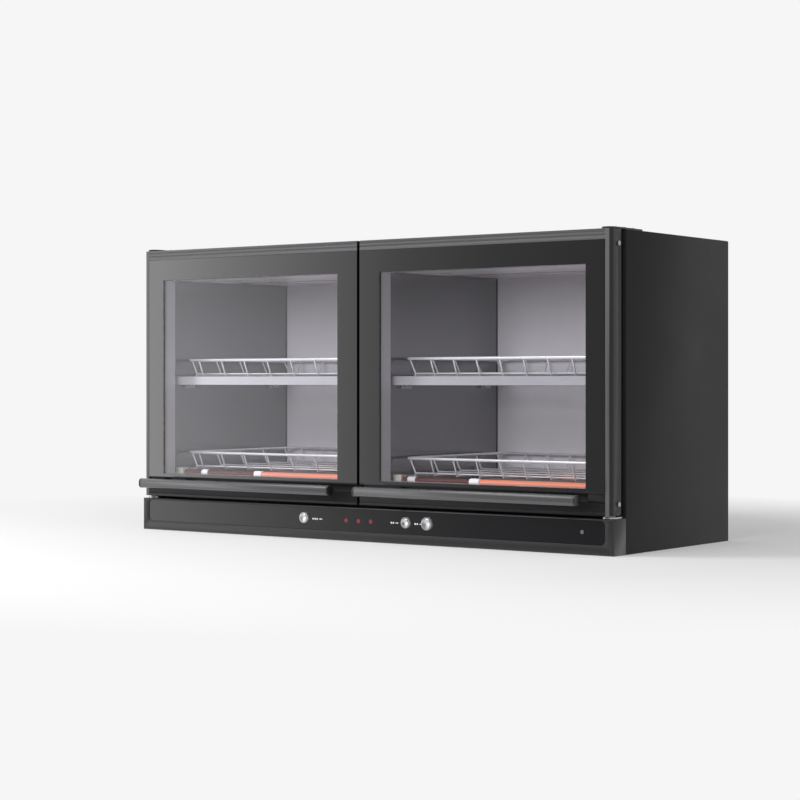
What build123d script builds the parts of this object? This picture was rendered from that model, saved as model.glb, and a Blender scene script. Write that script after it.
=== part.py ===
from build123d import *
import math
import os

# Dish sterilizer cabinet, two glass doors over a low control panel. Millimetres, +Z up, front towards -Y.
# Origin: centre of the footprint, on the face it stands on. "Depth" counts back from the face of the doors.

# ---------------------------------------------------------------- whole cabinet
cabinet_width = 800.0
cabinet_height = 410.0          # body, without the upper pivot plates
body_depth = 310.0              # door face to the rear rim
handle_reach = 42.0             # how far the handle bars stand out of the door face
panel_height = 46.0             # control panel, below the doors
half_width = cabinet_width / 2
seat_gap = 0.3                  # running gap between pieces that move past each other
cut_past = 1.0                  # how far a cut runs on past the face it opens
shell_sheet = 1.0               # steel sheet of the wrap, back and floor
shell_bend = 2.0                # outer bend radius of the wrap
frame_sheet = 1.2               # steel sheet of the front frame
frame_depth = 30.5              # depth of the front frame's face
back_recess = 2.0               # how far the back panel sits inside the rear rim
pan_flange = 12.0               # folded-up edges of the floor

# Small and hidden round pieces are drawn with few faces.
small_sides = 12                # tubes, lenses, posts, screw heads and bushes
shank_sides = 8                 # screw shanks and their holes
wire_sides = 6                  # basket wires
hole_sides = 16                 # button holes, hidden by their bezels

# ---------------------------------------------------------------- chambers
chamber_side_space = 31.0       # from the centre plane, and from the cabinet's side, to a chamber wall
chamber_top_space = 30.0
chamber_rear_space = 15.0
chamber_above_panel = 26.0
chamber_wall_x = chamber_side_space
chamber_outer_x = half_width - chamber_side_space
chamber_floor_z = panel_height + chamber_above_panel
chamber_ceiling_z = cabinet_height - chamber_top_space
chamber_back = body_depth - chamber_rear_space
liner_sheet = 0.8
liner_flange = 8.0

# ---------------------------------------------------------------- heaters
tube_radius = 4.0
tube_bore_radius = 3.0
tube_above_floor = 12.0
tube_axis_z = chamber_floor_z + tube_above_floor
front_tube_setback = 13.5       # behind the front frame's face
rear_tube_space = 55.0          # before the chamber's back wall
front_tube_depth = frame_depth + front_tube_setback
rear_tube_depth = chamber_back - rear_tube_space
tube_depths = (front_tube_depth, rear_tube_depth)
cap_length = 14.0
cap_width = 13.0                # square ceramic cap
cap_socket = 6.0                # how far a tube sits in its cap
cap_clearance = 0.1
reflector_sheet = 0.6
reflector_lip = 4.0
reflector_end_gap = 6.0         # between a reflector's end and the caps
cutout_radius = 8.0
cutout_height = 9.0
cutout_flange_radius = 11.0
cutout_flange = 1.2
cutout_depth = body_depth / 2

# ---------------------------------------------------------------- shelf, rails and pegs
shelf_below_middle = 1.0        # shelf top, from the chamber's middle height
shelf_top_z = (chamber_floor_z + chamber_ceiling_z) / 2 - shelf_below_middle
shelf_fold = 12.0               # height of the shelf's folded edges
shelf_sheet = 1.0
shelf_front_space = 3.5
shelf_rear_space = 5.0
shelf_front = frame_depth + shelf_front_space
shelf_back = chamber_back - shelf_rear_space
shelf_side_width = 25.0         # flange that a basket's runners slide on
shelf_cross_width = 16.0        # front and rear flanges
rail_above_tubes = 1.0          # rail top over the heater tubes
rail_top_z = tube_axis_z + tube_radius + rail_above_tubes
rail_tube_space = 12.0          # from a tube's axis to the end of a rail
rail_front = front_tube_depth + rail_tube_space
rail_back = rear_tube_depth - rail_tube_space
rail_leg = 12.0
peg_size = (8.0, 14.0, 5.0)     # across, deep, high
peg_inset = 30.0                # from the shelf's front and rear edges to a peg's middle

# ---------------------------------------------------------------- wire baskets
rack_side_gap = 14.0            # rim wire's centre line to the chamber wall
rack_half_width = (chamber_outer_x - chamber_wall_x) / 2 - rack_side_gap
rack_front_space = 14.5         # rim wire's centre line behind the front frame's face
rack_rear_space = 10.0
rack_front = frame_depth + rack_front_space
rack_back = chamber_back - rack_rear_space
rack_slope = 10.0               # how far the floor sits inside the rim, each side
rack_height = 22.6              # rim wire centre above the floor wires' centre
rim_wire = 4.4                  # wire diameters
floor_wire = 2.4
rim_corner = 14.0
rim_corner_steps = 3            # straight steps round a corner of the rim
cross_wires = 7                 # front to back, in each basket
left_wire_share = 0.898         # share of the floor's width that these wires span
right_wire_share = 0.770
long_wires = 5                  # side to side
long_wire_inset = 2.5           # first and last side-to-side wire, from the floor's ends

# ---------------------------------------------------------------- doors
door_side_reveal = 3.0          # door's outer edge inside the cabinet's side
door_outer_x = half_width - door_side_reveal
door_meeting_x = 2.25
door_foot_gap = 4.0             # over the control panel
door_bottom_z = panel_height + door_foot_gap
door_top_gap = 0.5              # under the upper pivot plates
door_top_z = cabinet_height - door_top_gap
door_thickness = 25.5
glass_thickness = 4.0
glass_gap = 0.3                 # between the pane and the strips around it
stile_lip = 9.0                 # visible strip of the hinge stile
stile_lip_x = door_outer_x - stile_lip
stile_corner = 6.0              # rounded outer front corner
top_lip = 13.5                  # visible strip of the top rail
top_lip_z = door_top_z - top_lip
top_lines = (9.0, 4.5)          # two fine lines along the top rail, below its top
fine_line_width = 0.9
fine_line_depth = 0.5
channel_above_foot = 15.6       # finger channel along the foot of the door
channel_width = 11.7
channel_depth = 10.0
channel_bottom_z = door_bottom_z + channel_above_foot
channel_top_z = channel_bottom_z + channel_width
foot_line = 3.5                 # fine line along the foot of the bottom rail
foot_line_z = door_bottom_z + foot_line
glass_ledge = 1.2               # between the channel and the pane
glass_bottom_z = channel_top_z + glass_ledge
glass_top_z = top_lip_z - glass_gap
glass_outer_x = stile_lip_x - glass_gap
window_border = 37.5            # door edge to window, at the hinge side
window_top_border = 43.5
window_meeting_border = 33.75
window_foot_border = 4.5        # pane's lower edge to window
window_inner_x = door_meeting_x + window_meeting_border
window_outer_x = door_outer_x - window_border
window_bottom_z = glass_bottom_z + window_foot_border
window_top_z = door_top_z - window_top_border
liner_wall = 1.0                # pressed inner panel of a door
liner_inset = 1.5               # its edge from the door's edge
extrusion_wall = 1.8
end_plug = 3.0                  # closed end of a rail at the meeting side
gasket_width = 9.0
gasket_hinge_inset = 17.5       # from the door's four edges
gasket_meeting_inset = 11.75
gasket_foot_inset = 8.0
gasket_top_inset = 16.5
gasket_outer_x = door_outer_x - gasket_hinge_inset
gasket_meeting_x = door_meeting_x + gasket_meeting_inset
gasket_bottom_z = door_bottom_z + gasket_foot_inset
gasket_top_z = door_top_z - gasket_top_inset
gasket_bevel = 1.5

# ---------------------------------------------------------------- pivots
pivot_inset = 10.0              # pin's axis inside the door's outer edge
pivot_x = door_outer_x - pivot_inset
pivot_depth = 13.0
pin_radius = 3.0
pin_clearance = 0.05
pin_reach = 11.0                # how far a pin reaches into the door
bush_radius = 4.9
bush_seat_radius = 5.0
bush_length = 11.5
bush_flange_radius = 7.0
plate_thickness = 2.0
plate_half_width = 10.0
top_plate_length = 65.0         # behind the pin
lower_plate_gap = 0.2           # over the control panel
lower_plate_z = panel_height + lower_plate_gap
lower_plate_drop = 26.0         # folded leg of a lower plate, down the front frame
leg_face = frame_depth - plate_thickness
plate_hole_fit = 0.02
hinge_screw_radius = 2.0
hinge_screw_head = 3.6
hinge_screw_length = 7.0
top_screw_setback = 16.0        # front screw of an upper plate, behind the front frame's face
plate_screw_margin = 10.0       # rear screw to the plate's end
leg_screw_drops = (8.0, 18.0)   # screws of a lower plate's leg
top_screw_depths = (frame_depth + top_screw_setback, pivot_depth + top_plate_length - plate_screw_margin)
leg_screw_heights = tuple(lower_plate_z - drop for drop in leg_screw_drops)
screw_head_height = 1.5
screw_fit = 0.2                 # hole radius over shank radius
stile_screw_insets = (14.1, 18.1)   # from the door's foot and top
stile_screw_heights = (door_bottom_z + stile_screw_insets[0], door_top_z - stile_screw_insets[1])
stile_screw_depth = 17.3
stile_screw_radius = 1.75
stile_screw_head = 3.2
stile_screw_length = 48.0

# ---------------------------------------------------------------- handles
bar_height = 13.5
bar_thickness = 13.0
bar_corner = 5.2
bar_in_channel = 4.7            # bar's axis over the channel's lower edge
bar_meeting_inset = 18.75
bar_hinge_inset = 28.0
bar_axis_z = channel_bottom_z + bar_in_channel
bar_inner_x = door_meeting_x + bar_meeting_inset
bar_outer_x = door_outer_x - bar_hinge_inset
cap_thickness = 3.0
post_radius = 3.5
post_inset = 41.0               # from the bar's ends to the posts
post_positions = (bar_inner_x + post_inset, bar_outer_x - post_inset)

# ---------------------------------------------------------------- control panel
panel_wall = 2.0
panel_edge_bevel = 1.5
panel_rim = 12.0                # raised rim at each end
panel_rim_bottom = 13.0         # raised rim along the foot
recess_depth = 2.5
recess_corner = 6.5
fascia_thickness = 1.8
fascia_gap = 0.3
button_height_z = 29.0
button_places = (("left_button", -94.2, 8.0), ("middle_button", 80.3, 8.0), ("right_button", 114.9, 9.25))
bezel_width = 2.0
bezel_stand = 2.6               # how far a bezel stands out of the fascia
bezel_taper = 0.8               # a bezel is this much narrower at its front
button_bevel = 0.8
button_gap = 0.3
button_stand = 1.2              # button face beyond its bezel
button_dish = 0.7
button_travel = 2.0
button_stem_radius = 2.5
button_tip_radius = 1.6         # thin end of the stem, inside the switch
button_tip_entry = 1.0          # how far it reaches into the switch at rest
button_flange = 1.5
button_flange_lap = 0.5
lens_places = (-21.0, 0.0, 21.0)
lens_radius = 3.0
lens_stand = 0.3
lens_length = 5.6
lens_height_z = 28.0
fascia_screw_inset = 45.3
fascia_screw_x = half_width - fascia_screw_inset
fascia_screw_z = 28.9
fascia_screw_radius = 1.5
fascia_screw_head = 2.6
fascia_screw_length = 3.4
board_depth = 16.0
board_thickness = 1.6
board_left_x = -112.0
board_right_x = 134.0
board_bottom_z = 17.0
board_top_z = 41.0
board_post_radius = 3.0
board_post_inset = 5.0
connector_x = (20.0, 50.0)
connector_depth = 6.0
connector_z = (20.0, 29.0)
switch_side = 7.0
switch_height = 5.0
switch_bore = 3.5
lamp_radius = 2.0
lamp_height = 8.0

# ---------------------------------------------------------------- inside the base and on the back
module_length = 96.0
module_width = 62.0
module_height = 34.0
module_x = -150.0
module_depth = body_depth / 2
module_rib_pitch = 12.0
module_rib = 2.0
module_wall = 2.0
sensor_size = (9.0, 8.0, 26.0)  # across, deep, high
sensor_above_chamber = 13.0
sensor_z = chamber_ceiling_z + sensor_above_chamber
sensor_x = 16.0
hanger_inset = 80.0             # wall hook holes, from the cabinet's sides and top
hanger_drop = 15.0
hanger_x = half_width - hanger_inset
hanger_z = cabinet_height - hanger_drop
hanger_hole_radius = 5.5
hanger_plate = (60.0, 2.0, 22.0)
vent_count = 9
vent_pitch = 22.0
vent_length = 26.0
vent_width = 4.0
vent_z = 34.0
vent_x = -120.0
cord_inset = 70.0
cord_x = half_width - cord_inset
cord_z = 32.0
cord_radius = 4.0
grommet_radius = 9.0
grommet_lap = 2.5               # flanges beyond the hole, on both faces
grommet_flange = 1.4
grommet_inside = 3.0

door_face_y = (handle_reach - body_depth) / 2
chamber_centre_x = (chamber_wall_x + chamber_outer_x) / 2
pivot_plate_top_z = cabinet_height + plate_thickness


# ---------------------------------------------------------------- shared ways of making solids
def row_y(depth):
    """Y of a plane that lies this far behind the door face."""
    return door_face_y + depth


def slab(x_range, depth_range, z_range):
    """Rectangular solid between two corners."""
    sizes = [high - low for low, high in (x_range, depth_range, z_range)]
    middle = [(low + high) / 2 for low, high in (x_range, depth_range, z_range)]
    return Pos(middle[0], row_y(middle[1]), middle[2]) * Box(*sizes)


def outline(x_range, z_range, corner=0.0):
    """Rectangle by its corners, as a sketch, with rounded corners where asked."""
    width = x_range[1] - x_range[0]
    height = z_range[1] - z_range[0]
    shape = RectangleRounded(width, height, corner) if corner else Rectangle(width, height)
    return Pos(sum(x_range) / 2, sum(z_range) / 2) * shape


def from_front(sketch, front, back):
    """A front-view outline (X across, Z up) carried from one depth back to another."""
    rear_plane = Plane(origin=(0, row_y(back), 0), x_dir=(1, 0, 0), z_dir=(0, -1, 0))
    return extrude(rear_plane * sketch, back - front)


def along_x(points, x_start, x_end):
    """A profile of (depth, Z) points carried along X."""
    profile = make_face(Polyline([(row_y(depth), z) for depth, z in points], close=True))
    return extrude(Plane.YZ.offset(x_start) * profile, x_end - x_start)


def rod(start, end, radius):
    """Round bar between two points given as (X, depth, Z)."""
    first = Vector(start[0], row_y(start[1]), start[2])
    last = Vector(end[0], row_y(end[1]), end[2])
    return extrude(Plane(origin=first, z_dir=last - first) * Circle(radius), (last - first).length)


def prism(start, end, radius, sides=small_sides):
    """Bar with this many sides between two points given as (X, depth, Z); radius is to its edges."""
    first = Vector(start[0], row_y(start[1]), start[2])
    last = Vector(end[0], row_y(end[1]), end[2])
    section = Plane(origin=first, z_dir=last - first) * RegularPolygon(radius, sides)
    return extrude(section, (last - first).length)


def turned(profile_points, x, z):
    """Solid of revolution about a front-to-back axis, from (radius, depth) points."""
    profile = make_face(Polyline([(radius, row_y(depth)) for radius, depth in profile_points], close=True))
    return Pos(x, 0, z) * revolve(Plane.XY * profile, Axis.Y)


def screw(seat, into, radius, head_radius, length):
    """Pan-head screw: seated at (X, depth, Z) and pointing along a unit (X, depth, Z) direction."""
    tip = tuple(place + length * step for place, step in zip(seat, into))
    top = tuple(place - screw_head_height * step for place, step in zip(seat, into))
    return prism(seat, tip, radius, shank_sides) + prism(seat, top, head_radius)


def mirrored(solid):
    """The same piece on the other side of the centre plane."""
    return mirror(solid, about=Plane.YZ)


def pair(solid):
    """A piece and its mirror twin, as two separate solids."""
    return [solid, mirrored(solid)]


parts = {}


def keep(name, *solids):
    """Registers a named piece. Several solids under one name stay separate solids."""
    flat = [single for shape in solids for single in shape.solids()]
    parts[name] = flat[0] if len(flat) == 1 else Compound(children=flat)


# ---------------------------------------------------------------- sheet-metal body
inside_x = half_width - shell_sheet
back_panel_depth = body_depth - back_recess


def outer_shell():
    """Top and both sides in one folded sheet: an arch profile, carried front to back."""
    arch = outline((-half_width, half_width), (0, cabinet_height))
    arch = fillet(arch.vertices().group_by(Axis.Y)[-1], shell_bend)
    hollow = outline((-inside_x, inside_x), (-shell_sheet, cabinet_height - shell_sheet))
    shell = from_front(arch - hollow, frame_depth, body_depth)
    for x in (-pivot_x, pivot_x):
        for depth in top_screw_depths:
            ends = ((x, depth, cabinet_height + cut_past), (x, depth, cabinet_height - 2 * shell_sheet))
            shell -= prism(*ends, hinge_screw_radius + screw_fit, shank_sides)
    return shell


def back_panel():
    """Recessed rear sheet with hook holes, vent slots and the cord hole."""
    sheet = outline((-inside_x, inside_x), (0, cabinet_height - shell_sheet))
    for side in (-1, 1):
        sheet -= Pos(side * hanger_x, hanger_z) * Circle(hanger_hole_radius)
    for index in range(vent_count):
        place = vent_x + (index - (vent_count - 1) / 2) * vent_pitch
        sheet -= Pos(place, vent_z) * Rectangle(vent_width, vent_length)
    sheet -= Pos(cord_x, cord_z) * RegularPolygon(grommet_radius + cap_clearance, small_sides)
    return from_front(sheet, back_panel_depth - shell_sheet, back_panel_depth)


def base_pan():
    """Cabinet floor with its front and rear edges folded up."""
    front = frame_depth + frame_sheet
    back = back_panel_depth - shell_sheet
    profile = [
        (front, 0), (back, 0), (back, pan_flange), (back - shell_sheet, pan_flange),
        (back - shell_sheet, shell_sheet), (front + shell_sheet, shell_sheet),
        (front + shell_sheet, pan_flange), (front, pan_flange),
    ]
    return along_x(profile, -inside_x, inside_x)


def chamber_mouth(grow=0.0):
    """Front outline of the right-hand chamber, grown on every side."""
    across = (chamber_wall_x - grow, chamber_outer_x + grow)
    return outline(across, (chamber_floor_z - grow, chamber_ceiling_z + grow))


def front_frame():
    """Face plate with the two chamber mouths; what is left between them is the mullion."""
    plate = outline((-inside_x, inside_x), (0, cabinet_height - shell_sheet))
    plate -= chamber_mouth()
    plate -= mirror(chamber_mouth(), about=Plane.YZ)
    for x in (-pivot_x, pivot_x):
        for z in leg_screw_heights:
            plate -= Pos(x, z) * RegularPolygon(hinge_screw_radius + screw_fit, shank_sides)
    return from_front(plate, frame_depth, frame_depth + frame_sheet)


def chamber():
    """Right-hand chamber: a pressed tub with a flange that lies against the back of the front frame."""
    front = frame_depth + frame_sheet
    tub = from_front(chamber_mouth(liner_sheet), front, chamber_back + liner_sheet)
    tub += from_front(chamber_mouth(liner_sheet + liner_flange), front, front + liner_sheet)
    return tub - from_front(chamber_mouth(), front - cut_past, chamber_back)


keep("outer_shell", outer_shell())
keep("back_panel", back_panel())
keep("base_pan", base_pan())
keep("front_frame", front_frame())
keep("right_chamber", chamber())
keep("left_chamber", mirrored(chamber()))


# ---------------------------------------------------------------- shelf, rails and pegs
shelf_left_x = chamber_wall_x + seat_gap
shelf_right_x = chamber_outer_x - seat_gap
shelf_foot_z = shelf_top_z - shelf_fold


def shelf():
    """Folded ring shelf: a shallow upturned tray with its middle cut out to let the heat rise."""
    tray = slab((shelf_left_x, shelf_right_x), (shelf_front, shelf_back), (shelf_foot_z, shelf_top_z))
    underside = tray.faces().sort_by(Axis.Z)[0]
    tray = offset(tray, amount=-shelf_sheet, openings=underside)
    opening = slab(
        (shelf_left_x + shelf_side_width, shelf_right_x - shelf_side_width),
        (shelf_front + shelf_cross_width, shelf_back - shelf_cross_width),
        (shelf_foot_z, shelf_top_z + shelf_sheet),
    )
    return tray - opening


def rack_rail():
    """Angle on the right-hand chamber's outer wall that a lower basket's runner slides on."""
    wall = chamber_outer_x
    inner = wall - shelf_side_width
    points = [
        (inner, rail_top_z - frame_sheet), (inner, rail_top_z), (wall, rail_top_z),
        (wall, rail_top_z - rail_leg), (wall - frame_sheet, rail_top_z - rail_leg),
        (wall - frame_sheet, rail_top_z - frame_sheet),
    ]
    profile = make_face(Polyline(points, close=True))
    return from_front(profile, rail_front, rail_back)


def across_chamber(solid):
    """A piece and its twin on the opposite wall of the right-hand chamber."""
    return [solid, mirror(solid, about=Plane.YZ.offset(chamber_centre_x))]


def shelf_pegs():
    """Square pegs under the folded side edges of the shelf, on both side walls."""
    across, deep, high = peg_size
    wall = chamber_outer_x
    pegs = []
    for depth in (shelf_front + peg_inset, shelf_back - peg_inset):
        peg = slab(
            (wall - across, wall), (depth - deep / 2, depth + deep / 2), (shelf_foot_z - high, shelf_foot_z)
        )
        pegs += across_chamber(peg)
    return pegs


keep("right_shelf", shelf())
keep("left_shelf", mirrored(shelf()))
keep("rack_rails", *[twin for rail in across_chamber(rack_rail()) for twin in pair(rail)])
keep("shelf_pegs", *[twin for peg in shelf_pegs() for twin in pair(peg)])


# ---------------------------------------------------------------- wire baskets
def bent_wire(points, diameter, closed=False):
    """Drawn wire along (X, depth, Z) points, mitred at its bends."""
    path = Polyline([(x, row_y(depth), z) for x, depth, z in points], close=closed)
    start = path.position_at(0)
    section = Plane(origin=start, z_dir=path.tangent_at(0)) * RegularPolygon(diameter / 2, wire_sides)
    return sweep(section, path=path, transition=Transition.RIGHT)


def rim_points(centre_x, rim_z):
    """Corners of the closed rim, each rounded off in equal straight steps."""
    corners = (
        (centre_x + rack_half_width - rim_corner, rack_back - rim_corner),
        (centre_x - rack_half_width + rim_corner, rack_back - rim_corner),
        (centre_x - rack_half_width + rim_corner, rack_front + rim_corner),
        (centre_x + rack_half_width - rim_corner, rack_front + rim_corner),
    )
    points = []
    for quarter, (x, depth) in enumerate(corners):
        for step in range(rim_corner_steps + 1):
            turn = math.radians(90 * (quarter + step / rim_corner_steps))
            points.append((x + rim_corner * math.cos(turn), depth + rim_corner * math.sin(turn), rim_z))
    return points


def wire_path(middle, half_span, half_floor, floor_z, rim_z):
    """(along, Z) points of a wire bent up at both ends, stopping at the underside of the rim."""
    rise = rim_z - floor_z
    slope = math.hypot(half_span - half_floor, rise)
    share = (slope - rim_wire / 2) / slope
    reach = half_floor + (half_span - half_floor) * share
    top = floor_z + rise * share
    return [
        (middle - reach, top), (middle - half_floor, floor_z),
        (middle + half_floor, floor_z), (middle + reach, top),
    ]


def rack(centre_x, seat_z, wire_share):
    """Shallow welded basket: a rim, wires bent up to it both ways, and two runners it slides on."""
    cross_z = seat_z + seat_gap + floor_wire / 2
    long_z = cross_z + floor_wire
    rim_z = cross_z + rack_height
    floor_half = rack_half_width - rack_slope
    half_depth = (rack_back - rack_front) / 2
    middle = (rack_front + rack_back) / 2
    wires = [bent_wire(rim_points(centre_x, rim_z), rim_wire, closed=True)]
    cross_span = 2 * floor_half * wire_share
    for index in range(cross_wires):
        x = centre_x + cross_span * (index / (cross_wires - 1) - 0.5)
        path = wire_path(middle, half_depth, half_depth - rack_slope, cross_z, rim_z)
        wires.append(bent_wire([(x, depth, z) for depth, z in path], floor_wire))
    long_span = 2 * (half_depth - rack_slope - long_wire_inset)
    for index in range(long_wires):
        depth = middle + long_span * (index / (long_wires - 1) - 0.5)
        path = wire_path(centre_x, rack_half_width, floor_half, long_z, rim_z)
        wires.append(bent_wire([(x, depth, z) for x, z in path], floor_wire))
    for x in (centre_x - floor_half, centre_x + floor_half):
        ends = ((x, rack_front + rack_slope, cross_z), (x, rack_back - rack_slope, cross_z))
        wires.append(prism(*ends, floor_wire / 2, wire_sides))
    return wires


for side_name, side, wire_share in (("left", -1, left_wire_share), ("right", 1, right_wire_share)):
    for level_name, seat in (("upper", shelf_top_z), ("lower", rail_top_z)):
        keep(f"{side_name}_{level_name}_rack", *rack(side * chamber_centre_x, seat, wire_share))


# ---------------------------------------------------------------- heaters
cap_inner_x = chamber_outer_x - cap_length
tube_end_x = cap_inner_x + cap_socket
tube_start_x = 2 * chamber_centre_x - tube_end_x


def heater_tube(depth):
    """Quartz tube of the right-hand chamber, hollow, its ends inside the caps."""
    ends = ((tube_start_x, depth, tube_axis_z), (tube_end_x, depth, tube_axis_z))
    return prism(*ends, tube_radius) - prism(*ends, tube_bore_radius)


def heater_cap(depth):
    """Square ceramic cap on the chamber's outer wall, with a blind socket for the tube."""
    block = slab(
        (cap_inner_x, chamber_outer_x), (depth - cap_width / 2, depth + cap_width / 2),
        (tube_axis_z - cap_width / 2, tube_axis_z + cap_width / 2),
    )
    mouth = (cap_inner_x - cut_past, depth, tube_axis_z)
    return block - prism(mouth, (tube_end_x + cap_clearance, depth, tube_axis_z), tube_radius + cap_clearance)


def reflector(depth):
    """Bright gutter under a tube: a folded trough with open top, one flat resting on the chamber floor."""
    outer = tube_axis_z - chamber_floor_z
    lip_z = tube_axis_z - reflector_lip
    y = row_y(depth)
    half_turn = 180 / small_sides
    trough = RegularPolygon(outer, small_sides, major_radius=False, rotation=half_turn)
    trough -= RegularPolygon(outer - reflector_sheet, small_sides, major_radius=False, rotation=half_turn)
    trough = Pos(y, tube_axis_z) * trough
    trough -= outline((y - 2 * outer, y + 2 * outer), (lip_z, tube_axis_z + 2 * outer))
    length = tube_end_x - tube_start_x - 2 * reflector_end_gap
    return extrude(Plane.YZ.offset(tube_start_x + reflector_end_gap) * trough, length)


def thermal_cutout():
    """Snap-disc cut-out clamped under the chamber floor."""
    top = (chamber_centre_x, cutout_depth, chamber_floor_z - liner_sheet)
    flange_foot = (chamber_centre_x, cutout_depth, top[2] - cutout_flange)
    foot = (chamber_centre_x, cutout_depth, top[2] - cutout_height)
    return prism(top, flange_foot, cutout_flange_radius) + prism(flange_foot, foot, cutout_radius)


right_tubes = [heater_tube(depth) for depth in tube_depths]
keep("right_heater_tubes", *right_tubes)
keep("left_heater_tubes", *[mirrored(tube) for tube in right_tubes])
all_caps = [end for depth in tube_depths for end in across_chamber(heater_cap(depth))]
keep("heater_caps", *[twin for end in all_caps for twin in pair(end)])
keep("heater_reflectors", *[twin for depth in tube_depths for twin in pair(reflector(depth))])
keep("thermal_cutouts", *pair(thermal_cutout()))


# ---------------------------------------------------------------- doors
# The right-hand one is modelled; the left is its mirror.
frame_back = door_thickness - liner_wall      # rails and stiles end where the inner panel starts
rail_end_x = window_outer_x + liner_wall
lower_plate_top_z = lower_plate_z + plate_thickness


def hinge_stile():
    """Full-height outer extrusion: rounded front corner, a bore for the pivots and a hollow beside it."""
    left = rail_end_x
    profile = make_face(Polyline([
        (stile_lip_x, row_y(0)), (door_outer_x, row_y(0)), (door_outer_x, row_y(frame_back)),
        (left, row_y(frame_back)), (left, row_y(glass_thickness)), (stile_lip_x, row_y(glass_thickness)),
    ], close=True))
    corner = profile.vertices().sort_by_distance((door_outer_x, row_y(0), 0))[0]
    profile = fillet(corner, stile_corner)
    profile -= Pos(pivot_x, row_y(pivot_depth)) * RegularPolygon(bush_seat_radius, small_sides)
    hollow_right = pivot_x - bush_seat_radius - extrusion_wall
    profile -= outline(
        (left + extrusion_wall, hollow_right),
        (row_y(glass_thickness + extrusion_wall), row_y(frame_back - extrusion_wall)),
    )
    stile = extrude(Plane.XY.offset(door_bottom_z) * profile, door_top_z - door_bottom_z)
    for z in stile_screw_heights:
        ends = ((door_outer_x + cut_past, stile_screw_depth, z), (left - cut_past, stile_screw_depth, z))
        stile -= prism(*ends, stile_screw_radius + screw_fit, shank_sides)
    return stile


def meeting_stile():
    """Inner extrusion behind the glass, between the two rails."""
    depths = (row_y(glass_thickness), row_y(frame_back))
    outer = outline((door_meeting_x, window_inner_x - liner_wall), depths)
    hollow = outline(
        (door_meeting_x + extrusion_wall, window_inner_x - liner_wall - extrusion_wall),
        (row_y(glass_thickness + extrusion_wall), row_y(frame_back - extrusion_wall)),
    )
    foot = window_bottom_z - liner_wall
    return extrude(Plane.XY.offset(foot) * (outer - hollow), window_top_z + liner_wall - foot)


def screw_tunnel(z):
    """Hole in a rail's end that a stile screw bites into."""
    reach = door_outer_x - stile_screw_length - cut_past
    ends = ((rail_end_x + cut_past, stile_screw_depth, z), (reach, stile_screw_depth, z))
    return prism(*ends, stile_screw_radius + screw_fit, shank_sides)


def top_rail():
    """Upper extrusion: a strip over the glass with two fine lines, and a hollow box behind the glass."""
    foot = window_top_z + liner_wall
    profile = [
        (0, top_lip_z), (0, door_top_z), (frame_back, door_top_z),
        (frame_back, foot), (glass_thickness, foot), (glass_thickness, top_lip_z),
    ]
    rail = along_x(profile, door_meeting_x, rail_end_x)
    rail += slab((rail_end_x, stile_lip_x), (0, glass_thickness), (top_lip_z, door_top_z))
    hollow = slab(
        (door_meeting_x + end_plug, rail_end_x - stile_screw_length + end_plug),
        (glass_thickness + extrusion_wall, frame_back - extrusion_wall),
        (foot + extrusion_wall, door_top_z - extrusion_wall),
    )
    rail -= hollow
    for drop in top_lines:
        line = (door_top_z - drop, door_top_z - drop + fine_line_width)
        rail -= slab((door_meeting_x - cut_past, stile_lip_x), (-cut_past, fine_line_depth), line)
    return rail - screw_tunnel(stile_screw_heights[1])


def bottom_rail():
    """Lower extrusion with the finger channel, the ledge that the glass stands on and a fine line."""
    head = window_bottom_z - liner_wall
    profile = [
        (0, door_bottom_z), (frame_back, door_bottom_z), (frame_back, head),
        (glass_thickness, head), (glass_thickness, glass_bottom_z), (0, glass_bottom_z),
    ]
    rail = along_x(profile, door_meeting_x, rail_end_x)
    rail += slab((rail_end_x, stile_lip_x), (0, glass_thickness), (door_bottom_z, glass_bottom_z))
    channel_heights = (channel_bottom_z, channel_top_z)
    rail -= slab((door_meeting_x - cut_past, stile_lip_x), (-cut_past, channel_depth), channel_heights)
    rail -= slab(
        (door_meeting_x + end_plug, rail_end_x - stile_screw_length + end_plug),
        (channel_depth + extrusion_wall, frame_back - extrusion_wall),
        (door_bottom_z + extrusion_wall, head - extrusion_wall),
    )
    line = (foot_line_z, foot_line_z + fine_line_width)
    rail -= slab((door_meeting_x - cut_past, stile_lip_x), (-cut_past, fine_line_depth), line)
    return rail - screw_tunnel(stile_screw_heights[0])


def glass_pane():
    """Tempered pane, flush with the strips around it."""
    return slab((door_meeting_x, glass_outer_x), (0, glass_thickness), (glass_bottom_z, glass_top_z))


def door_liner():
    """Pressed inner panel: a rear sheet, and a collar that lines the window back from the glass."""
    across = (door_meeting_x + liner_inset, door_outer_x - liner_inset)
    sheet = outline(across, (door_bottom_z + liner_inset, door_top_z - liner_inset))
    opening = outline((window_inner_x, window_outer_x), (window_bottom_z, window_top_z))
    collar = outline(
        (window_inner_x - liner_wall, window_outer_x + liner_wall),
        (window_bottom_z - liner_wall, window_top_z + liner_wall),
    )
    panel = from_front(sheet, frame_back, door_thickness)
    panel += from_front(collar, glass_thickness, door_thickness)
    return panel - from_front(opening, glass_thickness - cut_past, door_thickness + cut_past)


def gasket():
    """Seal ring on the inner panel, mitred at its corners and bevelled where it meets the front frame."""
    across = (gasket_meeting_x, gasket_outer_x)
    tall = (gasket_bottom_z, gasket_top_z)
    across_in = (gasket_meeting_x + gasket_width, gasket_outer_x - gasket_width)
    tall_in = (gasket_bottom_z + gasket_width, gasket_top_z - gasket_width)
    ring = outline(across, tall) - outline(across_in, tall_in)
    ring = from_front(ring, door_thickness, frame_depth - seat_gap)
    sealing_face = ring.faces().sort_by(Axis.Y)[-1]
    return chamfer(sealing_face.edges(), gasket_bevel)


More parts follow.
